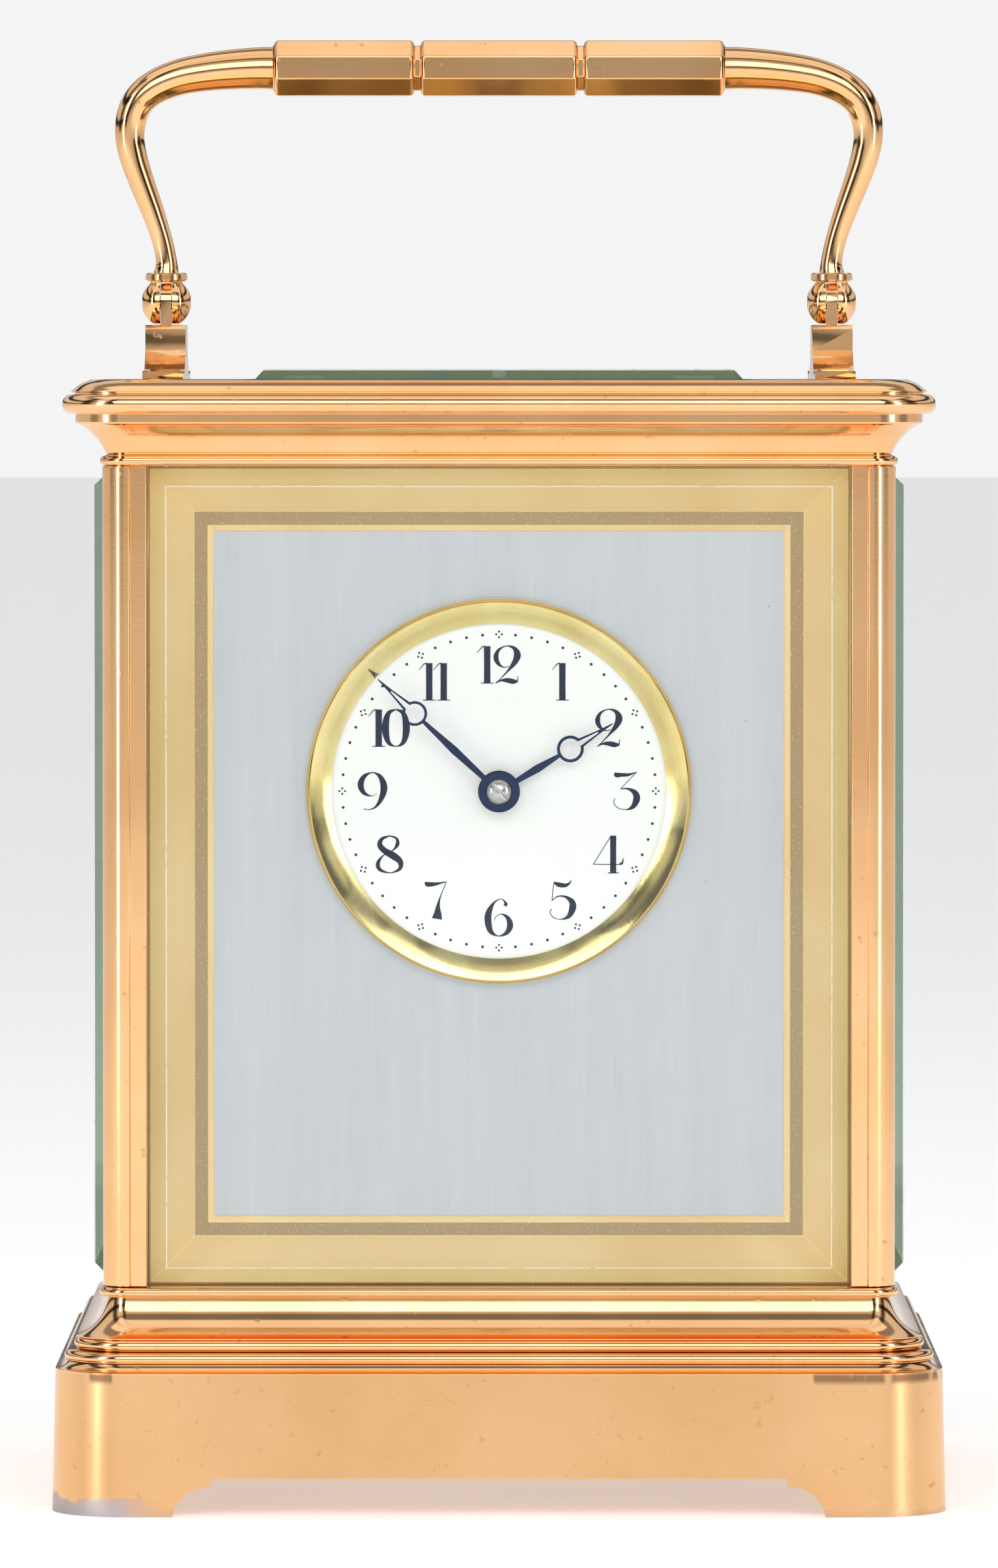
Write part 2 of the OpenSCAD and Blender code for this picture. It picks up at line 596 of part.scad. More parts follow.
// Angle that sets a gap of a wheel with n teeth towards angle a
function gap(a, n) = a + 180 / n;

// Plates
pivots = [inter_at, third_at, contrate_at];
pivot_r = 0.5;
arbor_r = 0.9;
wind_r = 2.2;        // winding arbor in the plates
core_r = 2.6;        // winding arbor in the barrel
wind_sq = 2.8;       // winding square, across its flats
tap_r = 1.1;         // plate screws
stud_r = 0.8;        // studs of the click, its spring and the minute wheel
cannon_r = 1.35;
hour_pipe_r = 1.9;
staff_r = 0.2;       // pivots of the balance and the escape wheel
lever_staff_r = 0.15;
posts = [[-post_x, floor_z + 5.5], [post_x, floor_z + 5.5], [-post_x, plate_top - 5.5],
    [post_x, plate_top - 5.5]];
module plate_holes(y) {
    for (p = pivots) rod(p, pivot_r + fit, y - 1, y + plate_t + 1);
    for (p = posts) rod(p, tap_r, y - 1, y + plate_t + 1);
    rod(centre, arbor_r + fit, y - 1, y + plate_t + 1);
    rod(barrel_at, wind_r + fit, y - 1, y + plate_t + 1);
}
module front_plate() color(plate_brass) {
    difference() {
        block(-plate_w / 2, plate_w / 2, front_y, inner_y, floor_z, plate_top);
        plate_holes(front_y);
    }
    rod(motion_at, stud_r, front_y - 2.9, front_y + 0.5);
}
module back_plate() color(plate_brass) {
    difference() {
        block(-plate_w / 2, plate_w / 2, back_y, rear_y, floor_z, plate_top);
        plate_holes(back_y);
        rod(spring_at, stud_r, back_y - 1, rear_y + 1);
    }
    rod(click_at, stud_r, back_y, rear_y + 2.9);
}
module plate_pillars() color(plate_brass) for (p = posts) difference() {
    union() {
        rod(p, post_d / 2 - 0.5, inner_y, back_y);
        rod(p, post_d / 2, inner_y, inner_y + 2);
        rod(p, post_d / 2, back_y - 2, back_y);
        rod(p, post_d / 2, stay_y[0] - 2.4, stay_y[0] + 2.4);
        rod(p, post_d / 2, stay_y[1] - 2.4, stay_y[1] + 2.4);
    }
    rod(p, tap_r, inner_y - 1, inner_y + 4);
    rod(p, tap_r, back_y - 4, back_y + 1);
    if (p.y < dial_z - 30) for (y = stay_y) post([p.x, y], screw_r, floor_z, p.y);
}
module slotted_head(p, r, y, t, side) {
    difference() {
        rod(p, r, min(y, y + side * t), max(y, y + side * t));
        put(p) rotate([0, 30 + 7 * p.x, 0]) block(-4, 4, min(y + side * t * 0.5, y + side * t * 2),
            max(y + side * t * 0.5, y + side * t * 2), -0.25, 0.25);
    }
}
module plate_screws() color(blued_screw) for (p = posts) {
    slotted_head(p, 2.1, front_y, 1.2, -1);
    slotted_head(p, 2.1, rear_y, 1.2, 1);
    rod(p, tap_r, front_y, inner_y + 4);
    rod(p, tap_r, back_y - 4, rear_y);
}
module movement_screws() color(screw_steel) for (x = [-1, 1], y = stay_y) {
    post([x * post_x, y], screw_r, floor_z - floor_t, floor_z + 5.5);
    difference() {
        post([x * post_x, y], 1.9, floor_z - floor_t - 1.3, floor_z - floor_t);
        block(x * post_x - 3, x * post_x + 3, y - 0.3, y + 0.3, 0, floor_z - floor_t - 0.7);
    }
}

// Going barrel, winding work
cap_r = drum_r - 1.2;
barrel_end = barrel_y + drum_l;
barrel_dir = heading(barrel_at, inter_at);
module barrel() color(wheel_brass) difference() {
    union() {
        put(barrel_at) slab(barrel_y, barrel_y + rim_t) rotate(barrel_dir)
            wheel_teeth(barrel_n, barrel_m);
        rod(barrel_at, drum_r, barrel_y, barrel_end);
    }
    rod(barrel_at, cap_r, barrel_y + 1.4, barrel_end + 1);
    rod(barrel_at, core_r + fit, barrel_y - 1, barrel_end + 1);
}
module barrel_cap() color(wheel_brass) difference() {
    rod(barrel_at, cap_r, barrel_end - 1.2, barrel_end);
    rod(barrel_at, core_r + fit, barrel_end - 2, barrel_end + 1);
    rod(barrel_at + [0, cap_r - 1.5], 1, barrel_end - 2, barrel_end + 1);
}
module spiral(r0, r1, turns, w, steps) {
    n = floor(turns * steps);
    polygon(concat(
        [for (i = [0:n]) let (a = 360 * i / steps, r = r0 + (r1 - r0) * i / n + w / 2)
            [r * cos(a), r * sin(a)]],
        [for (i = [n:-1:0]) let (a = 360 * i / steps, r = r0 + (r1 - r0) * i / n - w / 2)
            [r * cos(a), r * sin(a)]]));
}
module mainspring() color(spring_steel) put(barrel_at)
    slab(barrel_y + 1.8, barrel_end - 1.6) spiral(8.5, cap_r - 0.4, 7.25, 0.45, 20);
module winding_arbor() color(steel) {
    rod(barrel_at, wind_r, front_y + 0.2, rear_y + 0.4);
    rod(barrel_at, core_r, inner_y + 0.3, back_y - 0.3);
    rod(barrel_at, 6, barrel_y + 1.9, barrel_end - 1.7);
    put(barrel_at) slab(rear_y, rear_y + 9.5) square(wind_sq, center = true);
}
ratchet_n = 36;
ratchet_r = 7.2;
ratchet_y = rear_y + 0.4;
ratchet_t = 1.6;
click_at = barrel_at + [9.5, 9];
spring_at = barrel_at + [16, -3];
module ratchet_wheel() color(steel) put(barrel_at) slab(ratchet_y, ratchet_y + ratchet_t)
    difference() {
        polygon([for (i = [0:ratchet_n - 1], q = [[0, 0], [0.12, -0.95], [0.95, -0.05]])
            let (a = (i + q[0]) * 360 / ratchet_n, r = ratchet_r + q[1]) [r * cos(a), r * sin(a)]]);
        square(wind_sq, center = true);
    }
module click() color(steel) difference() {
    put(barrel_at) slab(ratchet_y, ratchet_y + ratchet_t) {
        polygon([[ratchet_r - 0.45, 0.3], [ratchet_r + 0.55, 0.3], [11.4, 8.6], [10.6, 10.4],
            [8.4, 10.4], [7.6, 8.6], [ratchet_r + 0.25, 1.5]]);
        translate(click_at - barrel_at) circle(2);
    }
    rod(click_at, stud_r + fit, rear_y - 1, ratchet_y + 4);
}
module click_spring() color(click_blue) {
    put(barrel_at) slab(ratchet_y, ratchet_y + 1.2) {
        polygon([[16.6, -3.5], [16.3, -2.4], [10.6, 5.0], [10.35, 4.9], [15.4, -3.0]]);
        translate(spring_at - barrel_at) circle(1.7);
    }
    rod(spring_at, 1.1, rear_y, ratchet_y);
    rod(spring_at, stud_r, back_y, ratchet_y + 1.2);
    slotted_head(spring_at, 1.7, ratchet_y + 1.2, 0.9, 1);
}

// Train
module arbor(p, y0, y1, r) {
    rod(p, pivot_r, front_y + 0.2, rear_y - 0.2);
    rod(p, r, y0, y1);
}
inter_dir = heading(centre, inter_at);
module intermediate_wheel() color(wheel_brass) {
    arbor(inter_at, inner_y + 0.3, back_y - 0.3, 1.3);
    pinion(inter_at, inter_pinion_n, barrel_m, barrel_y - 0.8, barrel_y + rim_t + 0.8,
        gap(barrel_dir + 180, inter_pinion_n));
    wheel(inter_at, inter_n, inter_m, inter_y, wheel_t, gap(inter_dir + 180, inter_n),
        3, 1.2, 5);
}
third_dir = heading(centre, third_at);
fourth_dir = heading(third_at, contrate_at);
module centre_arbor() color(steel) {
    rod(centre, arbor_r, front_y - 3, rear_y + 3);
    rod(centre, 1.2, inner_y + 0.3, inner_y + 3);
    rod(centre, 1.2, inter_y + 4, back_y - 0.3);
    pinion(centre, centre_pinion_n, inter_m, inter_y - 1, inter_y + wheel_t + 1, inter_dir);
    put(centre) slab(rear_y + 2.5, rear_y + 7) square(1.7, center = true);
}
module centre_wheel() color(wheel_brass) wheel(centre, centre_n, centre_m, centre_y, wheel_t,
    third_dir, 2.6, 1.2, 5);
module third_wheel() color(wheel_brass) {
    arbor(third_at, inner_y + 0.3, back_y - 0.3, 0.7);
    pinion(third_at, third_pinion_n, centre_m, centre_y - 0.8, centre_y + wheel_t + 0.8,
        gap(third_dir + 180, third_pinion_n));
    wheel(third_at, third_n, third_m, third_y, wheel_t, fourth_dir, 2.2, 0.6, 5);
}
crown_w = 1.1;       // radial width of the contrate teeth
module contrate_wheel() color(wheel_brass) {
    arbor(contrate_at, inner_y + 0.3, back_y - 0.3, 0.6);
    pinion(contrate_at, fourth_pinion_n, third_m, third_y - 0.8, third_y + wheel_t + 0.8,
        gap(fourth_dir + 180, fourth_pinion_n));
    put(contrate_at) {
        slab(contrate_y, contrate_y + wheel_t) {
            difference() {
                circle(contrate_r + crown_w / 2);
                circle(contrate_r - crown_w / 2 - 0.2);
            }
            for (i = [0:3]) rotate(i * 90 + 45) translate([0, -0.5]) square([contrate_r - 0.3, 1]);
            circle(2);
        }
        p = PI * contrate_m;
        root = wheel_t + contrate_y;
        tip = pitch_y + 0.75 * contrate_m;
        for (i = [0:contrate_n - 1]) rotate([0, i * 360 / contrate_n, 0])
            translate([0, 0, contrate_r - crown_w / 2]) linear_extrude(crown_w)
            polygon([[-0.25 * p, root - 0.2], [0.25 * p, root - 0.2], [0.21 * p, pitch_y],
                [0.08 * p, tip], [-0.08 * p, tip], [-0.21 * p, pitch_y]]);
    }
}

// Motion work and hands
cannon_y = front_y - 1.5;
module cannon_pinion() color(steel) difference() {
    union() {
        pinion(centre, cannon_n, cannon_m, cannon_y, front_y - 0.2, -60);
        rod(centre, cannon_r, minute_y + hand_t, cannon_y + 0.2);
        rod(centre, 1.0, minute_y, minute_y + 1);
    }
    rod(centre, arbor_r + fit, front_y - 3.2, front_y + 1);
}
module minute_wheel() color(wheel_brass) difference() {
    union() {
        wheel(motion_at, minute_n, cannon_m, front_y - 1.25, 0.8, gap(120, minute_n), 2.4, 0.1, 4);
        pinion(motion_at, motion_pinion_n, hour_m, front_y - 2.75, front_y - 1.2, 120);
    }
    rod(motion_at, stud_r + fit, front_y - 4, front_y + 1);
}
module hour_wheel() color(wheel_brass) difference() {
    union() {
        wheel(centre, hour_n, hour_m, front_y - 2.5, 0.8, gap(-60, hour_n), 3, 0.5, 4);
        rod(centre, hour_pipe_r, hour_y, front_y - 1.75);
    }
    rod(centre, cannon_r + fit, hour_y - 1, front_y);
}
// A moon hand pointing up: ring centre at c, tip at l, boss radius b. A fork leaves the ring,
// open to it, and closes prong_l above its centre into a solid tip
prong_w = 0.6;          // half width of the fork at the ring
prong_gap = 0.35;       // half width of its opening there
prong_l = 3.85;
module moon_hand(l, c, ro, ri, b, hole) difference() {
    union() {
        circle(b);
        polygon([[0.3, b * 0.8], [0.47, (b + c - ro) / 2], [0.22, c - ro + 0.15],
            [-0.22, c - ro + 0.15], [-0.47, (b + c - ro) / 2], [-0.3, b * 0.8]]);
        difference() {
            union() {
                translate([0, c]) circle(ro);
                polygon([[prong_w, c + ro * 0.8], [0.24, c + prong_l], [0.06, l], [-0.06, l],
                    [-0.24, c + prong_l], [-prong_w, c + ro * 0.8]]);
            }
            translate([0, c]) circle(ri);
            polygon([[prong_gap, c + ro * 0.5], [0.07, c + prong_l], [-0.07, c + prong_l],
                [-prong_gap, c + ro * 0.5]]);
        }
    }
    circle(hole);
}
module minute_hand() color(hand_blue) put(centre) slab(minute_y, minute_y + hand_t)
    rotate(-minute_angle) moon_hand(minute_l, 13.7, 1.48, 1.16, 2.3, 1.0);
module hour_hand() color(hand_blue) put(centre) slab(hour_y, hour_y + hand_t)
    rotate(-hour_angle) moon_hand(hour_l, 9.9, 1.6, 1.24, 2.5, hour_pipe_r);
module hand_nut() color(nut_steel) difference() {
    translate([0, minute_y, dial_z]) rotate([90, 0, 0]) cylinder(r1 = 1.63, r2 = 1.1, h = 0.8);
    put(centre) rotate([0, 45, 0]) block(-3, 3, minute_y - 2, minute_y - 0.45, -0.2, 0.2);
}

// Platform escapement
plat_x = [-10, 14.5];
plat_screws = [for (x = [plat_x[0] + 2.2, plat_x[1] - 2.2], y = [front_y + 1, rear_y - 1]) [x, y]];
bridge_x = [2.6, 12.6];
bridge_y = escape_at.y + 5.2;
cock_foot_r = 2.6;
screw_reach = 0.55;    // timing screws beyond the balance's rim
cock_at = balance_at + [0, balance_r + screw_reach + cock_foot_r + 0.55];
module platform_plate() color(platform_gilt) {
    difference() {
        block(plat_x[0], plat_x[1], front_y, rear_y, plate_top, platform_z);
        post(escape_at, 1.5, plate_top - 1, platform_z + 1);
        post(lever_at, lever_staff_r + fit, plate_top + 1, platform_z + 1);
        post(balance_at, staff_r + fit, plate_top + 1, platform_z + 1);
    }
    difference() {
        union() {
            block(escape_at.x - 1.2, escape_at.x + 1.2, escape_at.y + 2.2, escape_at.y + 3.6,
                contrate_at.y + 6.5, plate_top);
            block(escape_at.x - 1.2, escape_at.x + 1.2, escape_at.y - 1.0, escape_at.y + 3.6,
                contrate_at.y + 6.5, contrate_at.y + 7.6);
        }
        post(escape_at, staff_r + fit, contrate_at.y + 6, contrate_at.y + 9);
    }
}
module platform_screws() color(blued_screw) {
    for (p = plat_screws) difference() {
        post(p, 1.5, platform_z, platform_z + 0.9);
        block(p.x - 2, p.x + 2, p.y - 0.2, p.y + 0.2, platform_z + 0.45, platform_z + 2);
    }
    for (x = bridge_x) post([x, bridge_y], 0.9, bridge_z + bridge_t, bridge_z + bridge_t + 0.6);
    post(cock_at, 1.6, cock_z + cock_t, cock_z + cock_t + 0.8);
}
module escape_bridge() color(platform_gilt) {
    for (x = bridge_x) post([x, bridge_y], 1.2, platform_z, bridge_z);
    difference() {
        union() {
            round_bar([bridge_x[0], bridge_y], [bridge_x[1], bridge_y], 1.2, bridge_z, bridge_t);
            round_bar([bridge_x[0], bridge_y], lever_at, 1.0, bridge_z, bridge_t);
            round_bar([escape_at.x, bridge_y], escape_at, 1.1, bridge_z, bridge_t);
        }
        post(escape_at, staff_r + fit, bridge_z - 1, bridge_z + 2);
        post(lever_at, lever_staff_r + fit, bridge_z - 1, bridge_z + 2);
    }
}
// A flat bar from a to b, round at b
module flat_bar(a, b, r, z, t) {
    post(b, r, z, z + t);
    translate([a.x, a.y, z]) rotate([0, 0, heading(a, b)]) translate([0, -r, 0])
        cube([norm(b - a), 2 * r, t]);
}
// A flat bar with round ends between two places
module round_bar(a, b, r, z, t) {
    post(a, r, z, z + t);
    flat_bar(a, b, r, z, t);
}
module balance_cock() color(platform_gilt) difference() {
    union() {
        post(balance_at, 0.9, cock_z + 0.5, cock_z + cock_t + 1);
        post(cock_at, cock_foot_r, platform_z, cock_z + cock_t);
        round_bar(cock_at, balance_at, 2.2, cock_z, cock_t);
    }
    post(balance_at, staff_r + fit, cock_z - 1, cock_z + 3);
}
module regulator_index() color(steel) difference() {
    union() {
        round_bar(balance_at + [0, -5.2], balance_at, 0.5, cock_z + cock_t + 0.1, 0.5);
        post(balance_at, 1.7, cock_z + cock_t + 0.1, cock_z + cock_t + 0.6);
    }
    post(balance_at, 0.9 + fit, cock_z, cock_z + 4);
}
module escape_wheel() color(wheel_brass) {
    post(escape_at, staff_r, contrate_at.y + 6.7, bridge_z + bridge_t - 0.1);
    post(escape_at, 0.45, contrate_at.y + 7.8, bridge_z - 0.15);
    translate([escape_at.x, escape_at.y, contrate_at.y + contrate_r - 1]) linear_extrude(2)
        rotate(-90 + 180 / escape_pinion_n) pinion_teeth(escape_pinion_n, contrate_m);
    translate([escape_at.x, escape_at.y, escape_z]) linear_extrude(0.4) {
        difference() {
            polygon([for (i = [0:escape_teeth - 1], q = [[-0.08, -0.85], [0.08, 0],
                [0.13, 0], [0.42, -0.85]]) let (a = (i + q[0]) * 24 + 180 + 30 + 4.5,
                r = escape_r + q[1]) [r * cos(a), r * sin(a)]]);
            circle(1.9);
        }
        for (i = [0:3]) rotate(i * 90) translate([0, -0.2]) square([2.2, 0.4]);
        circle(0.9);
    }
}
module pallet_lever() color(steel) {
    z = escape_z + 0.55;
    post(lever_at, lever_staff_r, platform_z - 0.7, bridge_z + bridge_t - 0.1);
    post(lever_at, 0.35, platform_z + 0.15, bridge_z - 0.15);
    for (s = [-1, 1]) {
        q = escape_at + (escape_r + 0.35) * [-cos(30), s * sin(30)];
        flat_bar(lever_at, q, 0.3, z, 0.35);
        translate([escape_at.x, escape_at.y, escape_z - 0.05]) rotate([0, 0, 180 - s * 30])
            translate([escape_r - 0.07, -0.16, 0]) cube([0.7, 0.32, 0.65]);
        flat_bar(lever_at + [-3.2, 0], lever_at + [-3.9, s * 0.42], 0.14, z, 0.35);
    }
    flat_bar(lever_at, lever_at + [-3.3, 0], 0.2, z, 0.35);
}
module balance_wheel() color(wheel_brass) {
    post(balance_at, staff_r, platform_z - 0.7, cock_z + 0.9);
    post(balance_at, 0.45, platform_z + 0.15, cock_z - 0.15);
    post(balance_at, 1.25, platform_z + 2.5, platform_z + 2.9);
    post(balance_at + [roller_r, 0], 0.085, escape_z + 0.45, platform_z + 2.6);
    post(balance_at, 0.8, spring_z - 0.1, spring_z + 0.5);
    translate([balance_at.x, balance_at.y, balance_z]) {
        linear_extrude(0.9) difference() {
            circle(balance_r);
            circle(balance_r - 0.7);
        }
        linear_extrude(0.5) {
            for (i = [0:2]) rotate(i * 120 + 90) translate([0, -0.35]) square([balance_r - 0.4, 0.7]);
            circle(1.3);
        }
    }
    for (i = [0:11]) translate([balance_at.x, balance_at.y, balance_z + 0.45])
        rotate([0, 0, i * 30 + 15]) rotate([0, 90, 0]) translate([0, 0, balance_r - 0.2])
        cylinder(r = 0.4, h = screw_reach + 0.2);
}
module hairspring() color(hair_blue) translate([balance_at.x, balance_at.y, spring_z])
    linear_extrude(0.4) spiral(1.2, 4.4, 6.5, 0.12, 20);

// Rear door
glass_door_t = bevel_drop + 1.2;
win_x = door_hx - door_rail;
win_z = (door_z1 - door_z0) / 2 - door_rail;
module door_frame() color(case_gold) difference() {
    union() {
        block(-door_hx + door_t / 2, door_hx, door_y - door_t, door_y, door_z0, door_z1);
        post(hinge_at, door_t / 2, door_z0, door_z1);
    }
    block(-win_x, win_x, door_y - door_t - 1, door_y + 1, mid_z - win_z, mid_z + win_z);
    block(-win_x - groove_d, win_x + groove_d, door_y - door_t - 1, door_y - door_t + 1.25,
        mid_z - win_z - groove_d, mid_z + win_z + groove_d);
    post(hinge_at, hinge_r, door_z0 - 1, door_z0 + 3);
    post(hinge_at, hinge_r, door_z1 - 3, door_z1 + 1);
    rod(knob_at, 0.8 + fit, door_y - 5, door_y + 1);
}
module door_glass() glass_tint() translate([0, door_y - door_t, mid_z]) rotate([-90, 0, 0])
    bevelled([win_x + groove_d - groove_slack, win_z + groove_d - groove_slack], glass_door_t);
module door_pivots() color(pin_brass) {
    post(hinge_at, hinge_r, base_h - 2.5, door_z0 + 3);
    post(hinge_at, hinge_r, door_z1 - 3, col_top + 2.5);
}
module door_catch() color(case_gold) {
    rod(knob_at, 0.8, door_y - door_t - bolt_t, door_y + 1);
    translate([knob_at.x, door_y + 0.1, knob_at.y]) rotate([-90, 0, 0]) {
        cylinder(r = 1.5, h = 0.6);
        cylinder(r = 0.9, h = 2.2);
        translate([0, 0, 3.1]) sphere(r = 1.65);
    }
    put(knob_at) slab(door_y - door_t - bolt_t, door_y - door_t - 0.1) {
        translate([-bolt_w / 2, eps - bolt_l]) square([bolt_w, bolt_l]);
        circle(1.3);
    }
}

base_casting();
floor_plate();
pillar_front_left();
pillar_front_right();
pillar_rear_left();
pillar_rear_right();
cornice();
top_glass();
top_glass_clips();
front_glass();
left_glass();
right_glass();
case_fixings();
handle_bracket_left();
handle_bracket_right();
dial_mask();
dial_panel();
dial_bezel();
enamel_dial();
front_plate();
back_plate();
plate_pillars();
plate_screws();
movement_screws();
click_spring();
platform_plate();
platform_screws();
escape_bridge();
balance_cock();
hairspring();
handle_grip();
handle_arm_left();
handle_arm_right();
handle_knuckles();
handle_pins();
door_frame();
door_glass();
door_pivots();
door_catch();
centre_arbor();
cannon_pinion();
minute_hand();
hand_nut();
hour_wheel();
hour_hand();
minute_wheel();
centre_wheel();
intermediate_wheel();
barrel();
barrel_cap();
mainspring();
winding_arbor();
ratchet_wheel();
click();
third_wheel();
contrate_wheel();
escape_wheel();
pallet_lever();
balance_wheel();
regulator_index();
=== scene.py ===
import json
import math

import bmesh
import bpy
import numpy as np
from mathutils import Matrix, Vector


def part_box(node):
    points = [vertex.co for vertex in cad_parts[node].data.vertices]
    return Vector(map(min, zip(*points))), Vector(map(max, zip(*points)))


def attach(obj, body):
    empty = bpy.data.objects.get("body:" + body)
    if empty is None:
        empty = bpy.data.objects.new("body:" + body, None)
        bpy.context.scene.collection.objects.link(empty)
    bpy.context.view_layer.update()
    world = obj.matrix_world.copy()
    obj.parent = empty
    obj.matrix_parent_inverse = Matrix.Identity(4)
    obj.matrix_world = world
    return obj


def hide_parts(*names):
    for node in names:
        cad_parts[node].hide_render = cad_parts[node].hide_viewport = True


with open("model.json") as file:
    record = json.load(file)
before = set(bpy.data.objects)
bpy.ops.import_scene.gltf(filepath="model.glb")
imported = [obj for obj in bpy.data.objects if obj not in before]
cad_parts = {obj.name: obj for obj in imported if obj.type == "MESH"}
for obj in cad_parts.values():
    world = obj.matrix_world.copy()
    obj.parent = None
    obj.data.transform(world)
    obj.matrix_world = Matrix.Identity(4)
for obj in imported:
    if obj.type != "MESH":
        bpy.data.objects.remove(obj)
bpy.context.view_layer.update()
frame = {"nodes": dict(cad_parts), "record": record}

# Finished meshes and finishes for the mantel clock. Shapes are worked out in millimetres
# and put into the meshes in metres, in the frame's own axes: X across, -Y front, Z up.

mm = 0.001
copySharpAngle = 30
mergeReach = 2e-7         # points closer than this many metres become one
record = frame["record"]
slotOf = {row["node"]: row["material_slot"] for row in record["subparts"]}
bodyOf = {node: body for body, nodes in record["behaviour"]["bodies"].items() for node in nodes}
finished = set()          # nodes that a new piece already stands for


def boxOf(node):
    low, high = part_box(node)
    return np.array(low) / mm, np.array(high) / mm


# Curves: arrays of points in a plane

def arcPoints(x, z, radius, start, end, steps):
    # circle of a radius about (x, z) between two angles in degrees
    turn = np.radians(np.linspace(start, end, steps))
    return np.stack([x + radius * np.cos(turn), z + radius * np.sin(turn)], 1)


def bowPoints(a, b, rise, steps):
    # circular arc from a to b whose middle stands off the chord by rise, to its left
    a, b = np.array(a, float), np.array(b, float)
    chord = b - a
    length = np.hypot(*chord)
    left = np.array([-chord[1], chord[0]]) / length
    radius = (length ** 2 / 4 + rise ** 2) / (2 * rise)
    centre = (a + b) / 2 + left * (rise - radius)
    turnA, turnB = (math.atan2(*(p - centre)[::-1]) for p in (a, b))
    sweep = (turnB - turnA + math.pi) % (2 * math.pi) - math.pi
    turn = turnA + sweep * np.linspace(0, 1, steps)
    return centre + abs(radius) * np.stack([np.cos(turn), np.sin(turn)], 1)


def smoothLine(points, perSpan):
    # Catmull-Rom curve: each span is the cubic that its two neighbours bend
    points = np.array(points, float)
    padded = np.vstack([2 * points[0] - points[1], points, 2 * points[-1] - points[-2]])
    a, b, c, d = padded[:-3, None], padded[1:-2, None], padded[2:-1, None], padded[3:, None]
    t = np.linspace(0, 1, perSpan, endpoint=False)[None, :, None]
    line = 0.5 * (2 * b + t * (c - a) + t ** 2 * (2 * a - 5 * b + 4 * c - d)
                  + t ** 3 * (3 * b - a - 3 * c + d))
    return np.vstack([line.reshape(-1, points.shape[1]), points[-1:]])


# Surfaces: (points, faces) of one closed shell

def gridShell(points, closeU=False):
    # quads between neighbours of a grid that is closed along v; where it is open along u,
    # each end gets one face
    nu, nv = points.shape[:2]
    u = np.arange(nu if closeU else nu - 1)[:, None]
    v = np.arange(nv)[None, :]
    nextU, nextV = (u + 1) % nu, (v + 1) % nv
    quads = np.stack([u * nv + v, nextU * nv + v, nextU * nv + nextV, u * nv + nextV], -1)
    faces = quads.reshape(-1, 4).tolist()
    if not closeU:
        faces += [list(range(nv))[::-1], list(range((nu - 1) * nv, nu * nv))]
    return points.reshape(-1, 3), faces


def prismShell(outline, low, high):
    # an outline seen from above, carried straight up from low to high
    points = np.zeros((2, len(outline), 3))
    points[:, :, :2] = outline
    points[:, :, 2] = [[low], [high]]
    return gridShell(points)


def turnedShell(profile, centre, axis, steps):
    # a closed profile of (radius, distance along the axis) turned once round the axis
    turn = np.linspace(0, 2 * math.pi, steps, endpoint=False)[:, None]
    across, up = [k for k in range(3) if k != axis]
    points = np.zeros((steps, len(profile), 3))
    points[:, :, across] = centre[across] + profile[:, 0] * np.cos(turn)
    points[:, :, up] = centre[up] + profile[:, 0] * np.sin(turn)
    points[:, :, axis] = centre[axis] + profile[:, 1]
    return gridShell(points, closeU=True)


def roundRectangle(core, cornerSteps=14, sides=(None, None)):
    # anticlockwise from the right rear corner: a place on the core rectangle, the outward
    # direction, and the height of the lower edge there; sides holds the arches' outlines
    places, ways, heights = [], [], []
    for k in range(4):
        along, out = (core[0], core[1]) if k % 2 == 0 else (core[1], core[0])
        spin = np.array([[math.cos(k * math.pi / 2), math.sin(k * math.pi / 2)],
                         [-math.sin(k * math.pi / 2), math.cos(k * math.pi / 2)]])
        turn = np.linspace(0, math.pi / 2, cornerSteps)
        corner = np.tile([along, out], (cornerSteps, 1))
        places.append(corner @ spin)
        ways.append(np.stack([np.cos(turn), np.sin(turn)], 1) @ spin)
        heights.append(np.zeros(cornerSteps))
        side = sides[k % 2]
        if side is not None:
            places.append(np.stack([side[:, 0], np.full(len(side), out)], 1) @ spin)
            ways.append(np.tile([0.0, 1.0], (len(side), 1)) @ spin)
            heights.append(side[:, 1])
    return np.vstack(places), np.vstack(ways), np.concatenate(heights)


def mouldingShell(rows, path):
    # rows of (core half width, core half depth, radius, height) carried round the path: each
    # point is the path's place held inside the row's core, plus radius times the direction
    places, ways, heights = path
    core, radius, height = rows[:, :2], rows[:, 2], rows[:, 3]
    points = np.zeros((len(places), len(rows), 3))
    held = np.clip(places[:, None, :], -core[None], core[None])
    points[:, :, :2] = held + radius[None, :, None] * ways[:, None, :]
    points[:, :, 2] = height[None] + heights[:, None] * (height[None] == 0)
    return gridShell(points, closeU=True)


def frameShell(rows, centre, axes, closed=True):
    # rectangles of (half across, half up, depth), one inside the next
    corners = np.array([[1, 1], [-1, 1], [-1, -1], [1, -1]])
    points = np.zeros((len(rows), 4, 3))
    points[:, :, axes[0]] = centre[0] + rows[:, None, 0] * corners[None, :, 0]
    points[:, :, axes[1]] = centre[1] + rows[:, None, 1] * corners[None, :, 1]
    points[:, :, axes[2]] = rows[:, None, 2]
    return gridShell(points, closeU=closed)


